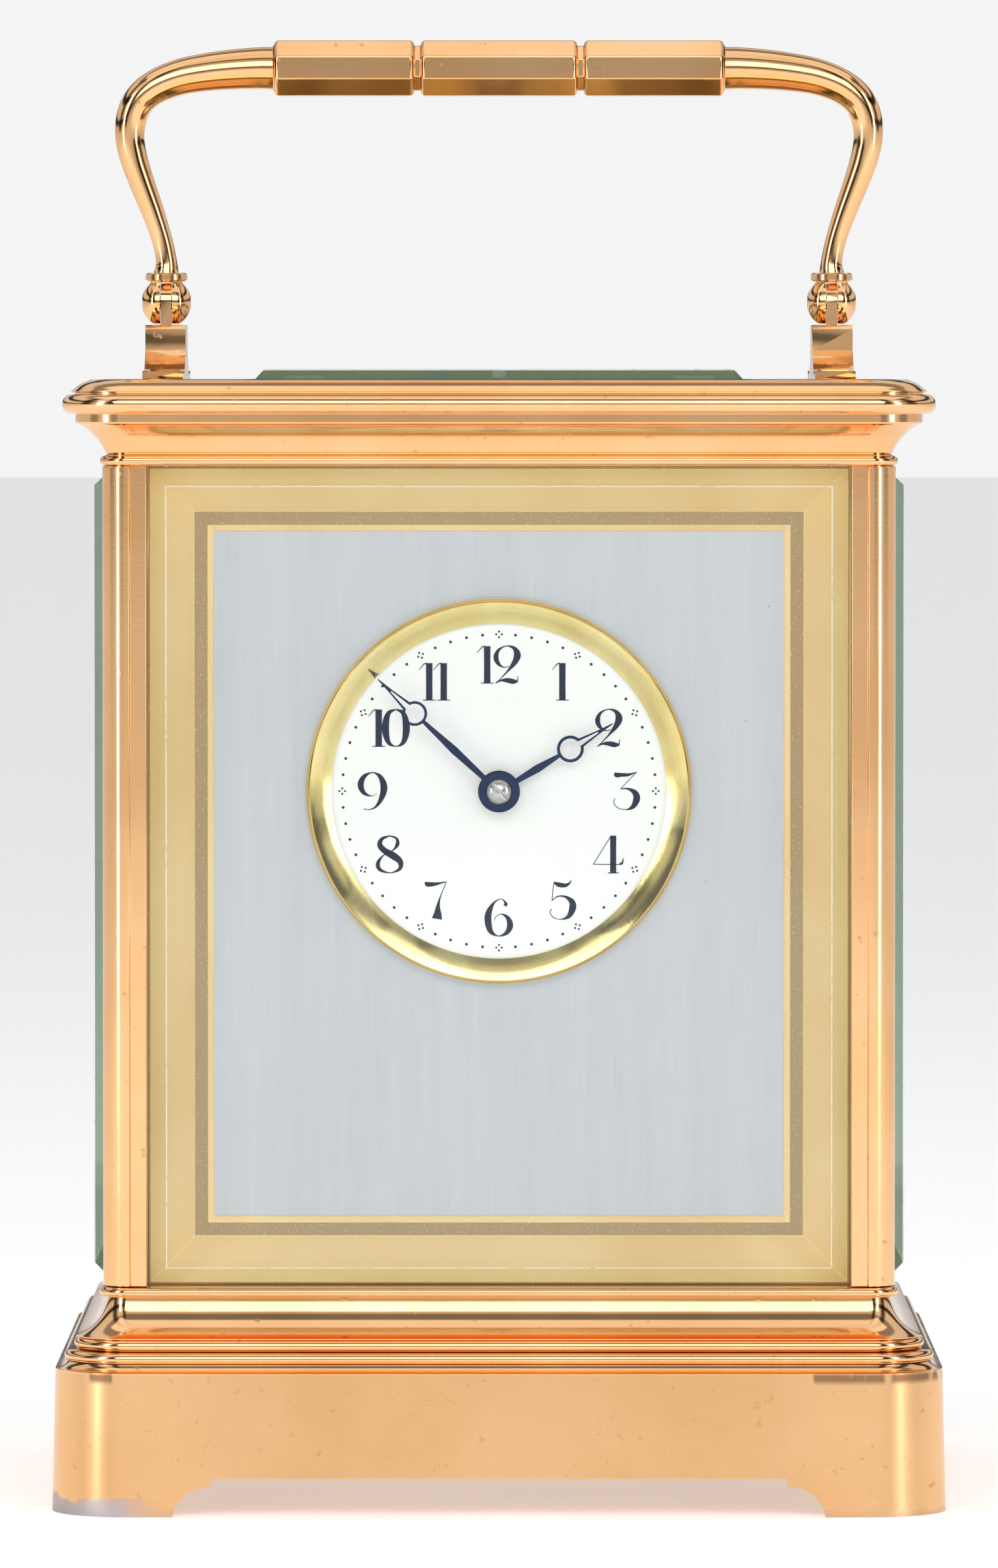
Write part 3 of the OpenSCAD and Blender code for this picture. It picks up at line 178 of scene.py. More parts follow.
def ribbonShell(line, front, thickness):
    # a line of (across, up, width) as a flat strip that is width wide everywhere
    way = np.gradient(line[:, :2], axis=0)
    way /= np.maximum(np.linalg.norm(way, axis=1), 1e-9)[:, None]
    side = np.stack([-way[:, 1], way[:, 0]], 1) * line[:, 2:3] / 2
    left, right = line[:, :2] + side, line[:, :2] - side
    points = np.zeros((len(line), 4, 3))
    points[:, :, (0, 2)] = np.stack([left, right, right, left], 1)
    points[:, :, 1] = [front, front, front + thickness, front + thickness]
    return gridShell(points)


# Pieces: meshes that ride on the frame's bodies

def addObject(name, data):
    item = bpy.data.objects.new(name, data)
    bpy.context.scene.collection.objects.link(item)
    return item


def finishMesh(mesh, sharpAngle, turnOut=True):
    # merged, its faces turned outwards, and smooth but for edges sharper than the angle
    form = bmesh.new()
    form.from_mesh(mesh)
    bmesh.ops.remove_doubles(form, verts=form.verts, dist=mergeReach)
    if turnOut:
        bmesh.ops.recalc_face_normals(form, faces=form.faces)
    form.to_mesh(mesh)
    form.free()
    mesh.shade_smooth()
    mesh.set_sharp_from_angle(angle=math.radians(sharpAngle))


def softenEdges(piece, width, segments=2, angle=35):
    bevel = piece.modifiers.new("softEdges", "BEVEL")
    bevel.width = width * mm
    bevel.segments = segments
    bevel.limit_method = "ANGLE"
    bevel.angle_limit = math.radians(angle)
    bevel.use_clamp_overlap = True
    bevel.harden_normals = False


def rideAndName(piece, finish, body, nodes):
    piece.data.materials.clear()
    piece.data.materials.append(finish)
    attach(piece, body)
    if nodes:
        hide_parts(*nodes)
        finished.update(nodes)
    return piece


def makePiece(name, shells, finish, body, nodes=(), sharpAngle=32):
    points, faces, start = [], [], 0
    for shellPoints, shellFaces in shells:
        points.append(shellPoints * mm)
        faces += [[start + i for i in face] for face in shellFaces]
        start += len(shellPoints)
    mesh = bpy.data.meshes.new(name)
    mesh.from_pydata(np.vstack(points).tolist(), [], faces)
    finishMesh(mesh, sharpAngle)
    return rideAndName(addObject(name, mesh), finish, body, nodes)


def smoothCopy(node, finish, edge):
    # the node's own mesh, merged and shaded smooth, as a new piece that stands for it
    mesh = frame["nodes"][node].data.copy()
    mesh.name = node + "_mesh"
    finishMesh(mesh, copySharpAngle, turnOut=False)
    piece = addObject(node + "_finished", mesh)
    rideAndName(piece, finish, bodyOf[node], [node])
    if edge:
        softenEdges(piece, edge)


# Finishes: node materials written as expressions

class Wire:
    # one output socket; arithmetic on it adds Math nodes
    def __init__(self, finish, socket):
        self.finish = finish
        self.socket = socket

    def __add__(self, other):
        return self.finish.maths("ADD", self, other)

    def __sub__(self, other):
        return self.finish.maths("SUBTRACT", self, other)

    def __rsub__(self, other):
        return self.finish.maths("SUBTRACT", other, self)

    def __mul__(self, other):
        return self.finish.maths("MULTIPLY", self, other)

    __radd__ = __add__
    __rmul__ = __mul__


class Finish:
    # a node tree: a new material's, or the one it is given
    def __init__(self, name="", tree=None):
        self.material = None
        if tree is None:
            self.material = bpy.data.materials.new(name)
            self.material.use_nodes = True
            tree = self.material.node_tree
        self.tree = tree
        self.tree.nodes.clear()

    def add(self, kind, settings=None, inputs=None, output=0):
        # one node; its stops are a colour ramp's (place, grey) pairs
        node = self.tree.nodes.new(kind)
        for key, value in (settings or {}).items():
            if key == "stops":
                while len(node.color_ramp.elements) < len(value):
                    node.color_ramp.elements.new(0.5)
                for element, (place, grey) in zip(node.color_ramp.elements, value):
                    element.position = place
                    element.color = (grey, grey, grey, 1)
            else:
                setattr(node, key, value)
        for key, value in (inputs or {}).items():
            if isinstance(value, Wire):
                self.tree.links.new(value.socket, node.inputs[key])
            else:
                node.inputs[key].default_value = value
        return Wire(self, node.outputs[output])

    def maths(self, operation, *values):
        return self.add("ShaderNodeMath", {"operation": operation}, dict(enumerate(values)))

    def place(self):
        return self.add("ShaderNodeTexCoord", output="Object")

    def noise(self, size, stretch=(1, 1, 1), detail=3.0):
        # cloudy value from 0 to 1 with features about size millimetres across
        laid = self.add("ShaderNodeMapping", {}, {"Vector": self.place(), "Scale": stretch})
        return self.add("ShaderNodeTexNoise", {}, {
            "Vector": laid, "Scale": 1 / (size * mm), "Detail": detail}, output="Fac")

    def step(self, value, low, high):
        # 0 below low, 1 above high, even between them
        return self.add("ShaderNodeMapRange", {}, {
            "Value": value, "From Min": low, "From Max": high}, output="Result")

    def stepMm(self, value, low, high):
        # the same for a length, with its ends in millimetres
        return self.step(value, low * mm, high * mm)

    def blend(self, factor, first, second):
        return self.add("ShaderNodeMix", {"data_type": "RGBA"}, {
            0: factor, 6: (*first, 1) if isinstance(first, tuple) else first,
            7: (*second, 1) if isinstance(second, tuple) else second}, output=2)

    def across(self, axis):
        return self.add("ShaderNodeSeparateXYZ", {}, {0: self.place()}, output=axis)

    def facing(self, axis):
        normal = self.add("ShaderNodeNewGeometry", output="Normal")
        return self.add("ShaderNodeSeparateXYZ", {}, {0: normal}, output=axis)

    def bump(self, value, depth, strength=1.0):
        return self.add("ShaderNodeBump", {}, {
            "Height": value, "Distance": depth * mm, "Strength": strength})

    def shader(self, inputs):
        return self.add("ShaderNodeBsdfPrincipled", {}, inputs)

    def show(self, shader, kind="ShaderNodeOutputMaterial"):
        out = self.tree.nodes.new(kind)
        self.tree.links.new(shader.socket, out.inputs["Surface"])
        return self.material


# Finishes of the clock's materials

# Lengths in millimetres where the plinth's wear and painted shade start and end: wear above the
# feet and over the patch at the front left foot, painted shade under the lower bead
wearAndShade = {"foot": (0.9, 1.9), "patchX": (-43, -39), "patchY": (-30, -27), "patchTop": (4.1, 4.5),
        "satinEdge": 0.4, "beadShadeX": (34, 37), "beadShadeDown": (1.5, 0.9)}
# painted light: how strongly the mask and the enamel glow of themselves, to brighten them
paintedGlow = {"mask": 0.1, "enamel": 0.12}


def polishedGilt(name="giltCase", satinBelow=None):
    # rose gilding: cloudy colour, fine wipe marks, a few dull spots; the plinth is satin, with
    # painted shade under its lower bead
    f = Finish(name)
    cloud = f.step(f.noise(14), 0.35, 0.65)
    spots = f.step(f.noise(1.3, detail=6.0), 0.66, 0.74)
    wipes = f.noise(0.5, stretch=(0.12, 1, 1), detail=2.0)
    colour = f.blend(cloud, (0.88, 0.50, 0.23), (0.93, 0.56, 0.28))
    colour = f.blend(spots * 0.35, colour, (0.42, 0.19, 0.07))
    rough = 0.07 + cloud * 0.03 + spots * 0.18 + wipes * 0.05
    if satinBelow:
        x, y, z = (f.across(axis) for axis in "XYZ")
        plinth = 1 - f.stepMm(z, satinBelow - wearAndShade["satinEdge"], satinBelow)
        foot = 1 - f.stepMm(z + f.noise(5) * 1.6 * mm, *wearAndShade["foot"])
        edge = z + f.noise(6, stretch=(1, 1, 0.3)) * 4.5 * mm
        corner = 1 - f.stepMm(x + f.noise(4) * 4 * mm, *wearAndShade["patchX"])
        corner = corner * (1 - f.stepMm(y, *wearAndShade["patchY"]))
        worn = corner * (1 - f.stepMm(edge, *wearAndShade["patchTop"]))
        # painted shade: dark streaks just under the lower bead, near the corners, stand for the
        # bead's shade and dark reflection
        under = f.stepMm(z, *(satinBelow - down for down in wearAndShade["beadShadeDown"])) * plinth
        under = under * f.stepMm(f.maths("ABSOLUTE", x), *wearAndShade["beadShadeX"])
        beadShade = under * f.step(f.noise(5, stretch=(1, 1, 0.2), detail=2.0), 0.50, 0.54)
        colour = f.blend(foot * 0.4, colour, (0.52, 0.46, 0.42))
        colour = f.blend(worn * 0.85, colour, (0.50, 0.48, 0.52))
        # the painted shade under the bead darkens the colour here
        colour = f.blend(beadShade * 0.8, colour, (0.22, 0.12, 0.06))
        rough = rough + plinth * 0.13 + foot * 0.15 + worn * 0.2 + beadShade * 0.15
    return f.show(f.shader({"Base Color": colour, "Metallic": 1.0, "Roughness": rough,
                            "Normal": f.bump(wipes, 0.0012)}))


def frostedGilt():
    # matt gilding over a grained surface: specks a tenth of a millimetre across; the slopes
    # are light gold, and the flat band that faces the front is browner as painted shade
    f = Finish("giltMask")
    grain = f.noise(0.13, detail=2.0)
    specks = f.step(f.noise(0.22, detail=1.0), 0.62, 0.74)
    cloud = f.step(f.noise(20), 0.35, 0.65)
    # painted shade: faces turned to the front are darkened by their facing, not by the gilding
    frontShade = f.step(f.facing("Y") * -1.0, 0.95, 0.99)
    colour = f.blend(cloud, (0.90, 0.65, 0.31), (0.96, 0.73, 0.39))
    colour = f.blend(frontShade, colour, (0.42, 0.30, 0.16))
    colour = f.blend(specks * 0.45, colour, (0.98, 0.84, 0.56))
    # painted light: the mask glows faintly in its own colour, to brighten it
    return f.show(f.shader({"Base Color": colour, "Metallic": 0.45,
                            "Emission Color": colour, "Emission Strength": paintedGlow["mask"],
                            "Roughness": 0.40 + grain * 0.16 - specks * 0.12,
                            "Normal": f.bump(grain, 0.02, 0.55)}))


def brushedSilver():
    # silvering rubbed straight up and down: long narrow streaks
    f = Finish("silveredPanel")
    fine = f.noise(0.16, stretch=(1, 1, 0.02), detail=4.0)
    broad = f.noise(1.6, stretch=(1, 1, 0.04), detail=3.0)
    cloud = f.step(f.noise(22), 0.3, 0.7)
    specks = f.step(f.noise(0.9, detail=2.0), 0.79, 0.81)
    colour = f.blend(fine * 0.6 + broad * 0.4, (0.52, 0.54, 0.60), (0.73, 0.75, 0.81))
    colour = f.blend(cloud * 0.25, colour, (0.72, 0.74, 0.77))
    colour = f.blend(specks * 0.6, colour, (0.12, 0.12, 0.13))
    return f.show(f.shader({"Base Color": colour, "Metallic": 0.85,
                            "Roughness": 0.36 + fine * 0.14, "Normal": f.bump(fine, 0.004, 0.5)}))


def polishedBezel():
    f = Finish("bezelBrass")
    cloud = f.step(f.noise(7), 0.35, 0.65)
    rubs = f.noise(0.35, stretch=(1, 1, 0.35), detail=4.0)
    scratched = f.step(f.noise(6, detail=1.0), 0.55, 0.65)
    colour = f.blend(cloud, (0.80, 0.63, 0.25), (0.90, 0.74, 0.36))
    return f.show(f.shader({"Base Color": colour, "Metallic": 1.0,
                            "Roughness": 0.07 + rubs * 0.08 + scratched * 0.08,
                            "Normal": f.bump(rubs, 0.002)}))


def firedEnamel():
    # white glaze with a faint unevenness and a few pinholes; a faint white glow is painted light
    # that brightens it
    f = Finish("enamel")
    cloud = f.step(f.noise(9), 0.3, 0.7)
    pits = f.step(f.noise(0.45, detail=1.0), 0.80, 0.83)
    colour = f.blend(cloud, (0.95, 0.955, 0.97), (0.97, 0.975, 0.98))
    colour = f.blend(pits * 0.5, colour, (0.30, 0.32, 0.36))
    # painted light: the enamel glows faintly white
    return f.show(f.shader({"Base Color": colour, "Roughness": 0.14 + cloud * 0.05,
                            "Coat Weight": 0.4 + cloud * 0.2,
                            "Emission Color": (1, 1, 1, 1), "Emission Strength": paintedGlow["enamel"],
                            "Normal": f.bump(f.noise(4), 0.006, 0.4)}))


def dialPaint():
    f = Finish("dialPaint")
    thin = f.step(f.noise(0.22, detail=3.0), 0.45, 0.75)
    colour = f.blend(thin, (0.006, 0.014, 0.045), (0.014, 0.032, 0.085))
    return f.show(f.shader({"Base Color": colour, "Roughness": 0.34 + thin * 0.2,
                            "Specular IOR Level": 0.2}))


def metal(name, dark, light, size, stretch, rough, spread, depth=0.002):
    # a metal with a grain: colour and roughness both follow streaks of the given size
    f = Finish(name)
    grain = f.noise(size, stretch=stretch, detail=4.0)
    cloud = f.step(f.noise(size * 18), 0.35, 0.65)
    colour = f.blend(grain * 0.6 + cloud * 0.4, dark, light)
    return f.show(f.shader({"Base Color": colour, "Metallic": 1.0,
                            "Roughness": rough + grain * spread + cloud * 0.05,
                            "Normal": f.bump(grain, depth, 0.5)}))


def bevelledGlass(name, tint):
    # clear through the face and tinted through the ground edges; it mirrors as glass does,
    # more the flatter it is looked at
    f = Finish(name)
    x, y, z = (f.maths("ABSOLUTE", f.facing(axis)) for axis in "XYZ")
    flat = f.maths("MAXIMUM", f.maths("MAXIMUM", x, y), z)
    ground = 1 - f.step(flat, 0.90, 0.97)
    clear = f.add("ShaderNodeBsdfTransparent", {}, {"Color": (0.985, 0.995, 0.988, 1)})
    green = f.add("ShaderNodeBsdfTransparent", {}, {"Color": (*tint, 1)})
    through = f.add("ShaderNodeMixShader", {}, {0: ground, 1: clear, 2: green})
    gleam = f.add("ShaderNodeFresnel", {}, {"IOR": 1.5})
    dust = f.step(f.noise(0.7, detail=3.0), 0.70, 0.80)
    gloss = f.shader({"Base Color": (0.95, 0.98, 0.96, 1), "Metallic": 1.0,
                      "Roughness": 0.015 + dust * 0.2})
    return f.show(f.add("ShaderNodeMixShader", {}, {0: gleam * 0.5 + dust * 0.03, 1: through,
                                                    2: gloss}))


def brightArris():
    # the fine line between a bevel and the face, painted as a pale highlight
    f = Finish("glassArrisHighlight")
    chips = f.step(f.noise(1.2, detail=4.0), 0.55, 0.75)
    paintedShine = f.shader({"Base Color": (0.93, 0.95, 0.90, 1), "Roughness": 0.25 + chips * 0.3})
    clear = f.add("ShaderNodeBsdfTransparent", {}, {"Color": (0.97, 0.99, 0.97, 1)})
    return f.show(f.add("ShaderNodeMixShader", {}, {0: 0.6 - chips * 0.4, 1: clear, 2: paintedShine}))


gilt = polishedGilt()
mask = frostedGilt()
finishFor = {
    "gilt_case": gilt,
    "gilt_mask": mask,
    "bezel_brass": polishedBezel(),
    "silvered_panel": brushedSilver(),
    "enamel": firedEnamel(),
    "case_glass": bevelledGlass("faceGlass", (0.92, 0.96, 0.90)),
    "plate_brass": metal("plateBrass", (0.66, 0.46, 0.17), (0.84, 0.63, 0.29), 0.22,
                         (1, 1, 0.05), 0.22, 0.16),
    "wheel_brass": metal("wheelBrass", (0.74, 0.52, 0.20), (0.90, 0.69, 0.32), 0.3,
                         (1, 0.15, 1), 0.12, 0.14),
    "steel": metal("polishedSteel", (0.42, 0.42, 0.44), (0.66, 0.66, 0.68), 0.2,
                   (0.2, 1, 1), 0.14, 0.16),
    "blued_steel": metal("bluedSteel", (0.010, 0.022, 0.075), (0.025, 0.05, 0.15), 0.35,
                         (1, 1, 1), 0.16, 0.12),
    "spring_steel": metal("springSteel", (0.10, 0.13, 0.22), (0.22, 0.26, 0.38), 0.3,
                          (1, 1, 0.2), 0.18, 0.14)}
paint = dialPaint()
greenGlass = bevelledGlass("edgeGlass", (0.42, 0.53, 0.42))
# a pale painted highlight for the glasses' arris
arris = brightArris()
print("finishes made")

# Base and cornice: a closed moulding carried round the case's rounded corners

case = {"pillarRound": 3.3, "rail": 5.3, "mouldings": 9.5, "footLength": 19.0, "archRise": 4.6,
        "wall": 3.6, "floorLedge": 3.0, "floorDrop": 4.5, "pocketDrop": 2.5, "taper": 0.4,
        "archEase": 0.5, "bossRadius": 3.2, "bossRise": 0.5, "satinDrop": 0.2,
        "glassInGroove": 0.65, "topPlate": 3.3, "sharpAngle": 38}
baseLow, baseHigh = boxOf("base_casting")
corniceLow, corniceHigh = boxOf("cornice")
pillarLow, pillarHigh = boxOf("pillar_front_right")
halfCase = np.array([pillarHigh[0], -pillarLow[1]])        # over the pillars' faces
plinthReach = baseHigh[0] - halfCase[0]
caseCore = halfCase - case["pillarRound"]
opening = halfCase - case["rail"]
baseTop, corniceFoot, caseTop = baseHigh[2], corniceLow[2], corniceHigh[2]
plinthTop = baseTop - case["mouldings"]


def outerRows(profile):
    # (reach beyond the pillars, height) as rows about the case's core
    rows = np.zeros((len(profile), 4))
    rows[:, :2] = caseCore
    rows[:, 2] = profile[:, 0] + case["pillarRound"]
    rows[:, 3] = profile[:, 1]
    return rows


def squareRows(*rows):
    # (half width, half depth, height) as rows with sharp corners
    return np.array([[a, b, 0, z] for a, b, z in rows])


def archedSide(half):
    # lower edge of one side, from the right foot to the left: a quarter round, a small
    # upright, the flat arch, and the same again mirrored
    rise = case["archRise"]
    quarter = arcPoints(half + 0.4, -0.6, rise - case["archEase"], 8.4, 95.2, 14)
    right = np.vstack([quarter, [[half - 0.04, rise], [half - 1, rise]]])
    return np.vstack([right, (right * [-1, 1])[::-1]])


def makeBase():
    # outer profile: plinth face, lower bead, upper bead, hollow and top bead
    p = plinthTop
    edge = plinthReach - case["taper"]
    profile = np.vstack([
        [[plinthReach, 0]],
        [[edge, p - 0.3]],
        bowPoints([edge, p - 0.3], [4.3, p + 0.6], 0.3, 8)[1:],
        arcPoints(3.95, p + 1.27, 0.67, -80, 80, 22),
        arcPoints(2.75, p + 2.7, 0.72, -78, 78, 22),
        [[3.15, p + 3.5]],
        bowPoints([3.15, p + 3.6], [-0.55, p + 8.2], 0.87, 22),
        arcPoints(-0.2, p + 8.82, 0.6, -90, 90, 18)])
    profile[:, 1] = np.minimum(profile[:, 1], baseTop)
    w, d = opening
    ledge = case["floorLedge"]
    floorFoot = baseTop - case["floorDrop"]
    pocketTop = plinthTop - case["pocketDrop"]
    inner = plinthReach - case["wall"]
    rows = np.vstack([
        outerRows(profile), squareRows(
            (w, d, baseTop), (w, d, floorFoot), (w - ledge, d - ledge, floorFoot),
            (w - ledge, d - ledge, pocketTop)),
        outerRows(np.array([[inner, pocketTop], [inner, 0]]))])
    sides = [archedSide(half + plinthReach - case["footLength"]) for half in halfCase]
    path = roundRectangle(caseCore, sides=sides)
    low, high, radius = case["archRise"], pocketTop + case["bossRise"], case["bossRadius"]
    boss = np.array([[0, low], [radius, low], [radius, high], [0, high]])
    bosses = [turnedShell(boss, (sx * caseCore[0], sy * caseCore[1], 0), 2, 40)
              for sx in (-1, 1) for sy in (-1, 1)]
    makePiece("plinthAndMouldings", [mouldingShell(rows, path), *bosses],
              polishedGilt("giltPlinth", satinBelow=plinthTop - case["satinDrop"]), "case",
              ["base_casting"], sharpAngle=case["sharpAngle"])


def makeCornice():
    # outer profile: lower bead, hollow, fillet, round, and a small step up to the top face
    z = corniceFoot
    gap = boxOf("top_glass")[1][:2] - case["glassInGroove"]
    profile = np.vstack([
        [[-0.35, 0]],
        arcPoints(-0.35, 0.65, 0.6, -90, 90, 18),
        bowPoints([-0.55, 1.35], [2.75, 5.0], 0.42, 20),
        [[3.0, 5.05], [3.16, 5.25], [3.16, 6.15]],
        arcPoints(3.6, 7.35, 1.15, -78, 78, 26),
        [[3.2, 8.52], [3.2, 8.7], [3.6, 8.72], [3.66, 8.85], [3.5, 9.02]],
        bowPoints([3.3, 9.15], [1.75, 10.05], -0.12, 12),
        [[1.3, caseTop - z]]]) + [0, z]
    w, d = opening
    plate = caseTop - case["topPlate"]
    rows = np.vstack([outerRows(profile), squareRows(
        (gap[0], gap[1], caseTop), (gap[0], gap[1], plate), (w, d, plate), (w, d, z))])
    makePiece("corniceMoulding", [mouldingShell(rows, roundRectangle(caseCore))], gilt,
              "case", ["cornice"], sharpAngle=case["sharpAngle"])


makeBase()
makeCornice()
print("base and cornice made")

# Front pillars: a rounded corner between two flat strips, straight from base to cornice.
# The rear pair keeps the frame's shape, which has the slot for the door's catch.

pillar = {"setBack": 0.25, "seam": 0.001, "edge": 0.12, "cornerSteps": 40}


def pillarOutline():
    (w, d), (fullW, fullD) = opening, halfCase
    coreW, coreD = caseCore
    back, seam = pillar["setBack"], pillar["seam"]
    corner = arcPoints(coreW, coreD, case["pillarRound"], 0, 90, pillar["cornerSteps"])
    return np.vstack([[[w, d], [fullW - back, d], [fullW - back, coreD - seam]], corner,
                      [[coreW - seam, fullD - back], [w, fullD - back]]])


for side, sx in (("left", -1), ("right", 1)):
    outline = pillarOutline() * [sx, -1]
    post = makePiece(f"frontPillar_{side}", [prismShell(outline, baseTop, corniceFoot)],
                     gilt, "case", [f"pillar_front_{side}"])
    softenEdges(post, pillar["edge"])
print("pillars made")

# Glasses: a lip, ground bevels on the outer side and a fine arris round every edge

glass = {"bevel": 2.4, "drop": 2.6, "groove": 0.8, "arris": 0.16, "sharpAngle": 12}


def makeGlass(node, axis, outward, finish):
    low, high = boxOf(node)
    across, up = [k for k in range(3) if k != axis]
    half = (high - low)[[across, up]] / 2
    middle = ((high + low) / 2)[[across, up]]
    face, back = (high[axis], low[axis]) if outward > 0 else (low[axis], high[axis])
    rim = face - outward * glass["drop"]
    seen = half - glass["groove"]
    top = seen - glass["bevel"]
    a = glass["arris"]
    rows = np.array([[*(half - a), back], [*half, back + outward * a], [*half, rim],
                     [*seen, rim], [*(top + a), face - outward * a], [*top, face]])
    pane = makePiece(node + "_pane", [frameShell(rows, middle, (across, up, axis), closed=False)],
                     finish, bodyOf[node], [node], glass["sharpAngle"])
    # the arris faces between bevel and face get the painted highlight finish
    pane.data.materials.append(arris)
    innerRing = 4 * (len(rows) - 2)
    for polygon in pane.data.polygons[innerRing:innerRing + 4]:
        polygon.material_index = 1


clearGlass = finishFor["case_glass"]
makeGlass("front_glass", 1, -1, clearGlass)
makeGlass("left_glass", 0, -1, greenGlass)
makeGlass("right_glass", 0, 1, greenGlass)
makeGlass("top_glass", 2, 1, greenGlass)
makeGlass("door_glass", 1, 1, clearGlass)
print("glasses made")

# Dial work: mask, bezel, enamel with painted numerals

dial = {"lip": 0.2, "slope": 5.1, "slopeDeep": 0.6, "frontShade": 1.6, "chamfer": 0.75,
        "chamferDeep": 0.45, "bezelWidth": 3.0, "hole": 2.2, "hairline": 0.05, "sharpAngle": 40,
        "numeralRadius": 15.1, "numeralHeight": 4.55, "dotRadius": 18.7, "dotSize": 0.17,
        "starSpread": 0.33, "starSize": 0.125, "paintDeep": 0.03, "dome": 0.12}


def makeMask():
    low, high = boxOf("dial_mask")
    half = np.array([high[0], (high[2] - low[2]) / 2])
    front, back = low[1], high[1]
    frontShade = back - dial["slopeDeep"]
    lip, slope = dial["lip"], dial["slope"]
    inner = half - lip - slope - dial["frontShade"]
    window = inner - dial["chamfer"]
    rows = np.array([[*half, back], [*half, front], [*(half - lip), front],
                     [*(half - lip - slope), frontShade], [*inner, frontShade],
                     [*window, frontShade + dial["chamferDeep"]], [*window, back]])
    piece = makePiece("dialMask", [frameShell(rows, (0, (low[2] + high[2]) / 2), (0, 2, 1))],
                      mask, "case", ["dial_mask"], 10)
    softenEdges(piece, 0.09, 3, 8)


bezelLow, bezelHigh = boxOf("dial_bezel")
dialLow, dialHigh = boxOf("enamel_dial")
dialCentre = ((bezelHigh + bezelLow) / 2)[[0, 2]]
dialFace = dialLow[1]
dialRadius = (dialHigh[0] - dialLow[0]) / 2


def domeAt(radius):
    # how far the enamel has fallen away at this radius
    return dial["dome"] * (radius / dialRadius) ** 2


def turnedOnDial(profile, y, steps):
    return [turnedShell(profile, (dialCentre[0], y, dialCentre[1]), 1, steps)]


def makeBezel():
    # outer face, a thin rounded edge, the broad cone and the step behind it
    outer = (bezelHigh[0] - bezelLow[0]) / 2
    seen = outer - dial["bezelWidth"]
    profile = np.vstack([
        [[seen + 1, 0], [outer, 0], [outer, 1.1]],
        bowPoints([outer, 1.1], [outer - 0.45, 1.9], -0.14, 10)[1:],
        bowPoints([outer - 0.5, 1.88], [seen + 0.12, 0.86], -0.05, 12),
        [[seen, 0.8], [seen, 0.56], [seen + 1, 0.56]]])
    profile[:, 1] *= -1
    makePiece("dialBezel", turnedOnDial(profile, bezelHigh[1], 256), finishFor["bezel_brass"],
              "case", ["dial_bezel"], dial["sharpAngle"])


def makeEnamel():
    # the face falls away from its middle as the square of the radius
    radius = np.linspace(dial["hole"], dialRadius, 14)
    thick = dialHigh[1] - dialFace
    profile = np.vstack([np.stack([radius, domeAt(radius)], 1),
                         [[dialRadius, thick], [dial["hole"], thick]]])
    makePiece("enamelDial", turnedOnDial(profile, dialFace, 192), finishFor["enamel"],
              "case", ["enamel_dial"], dial["sharpAngle"])


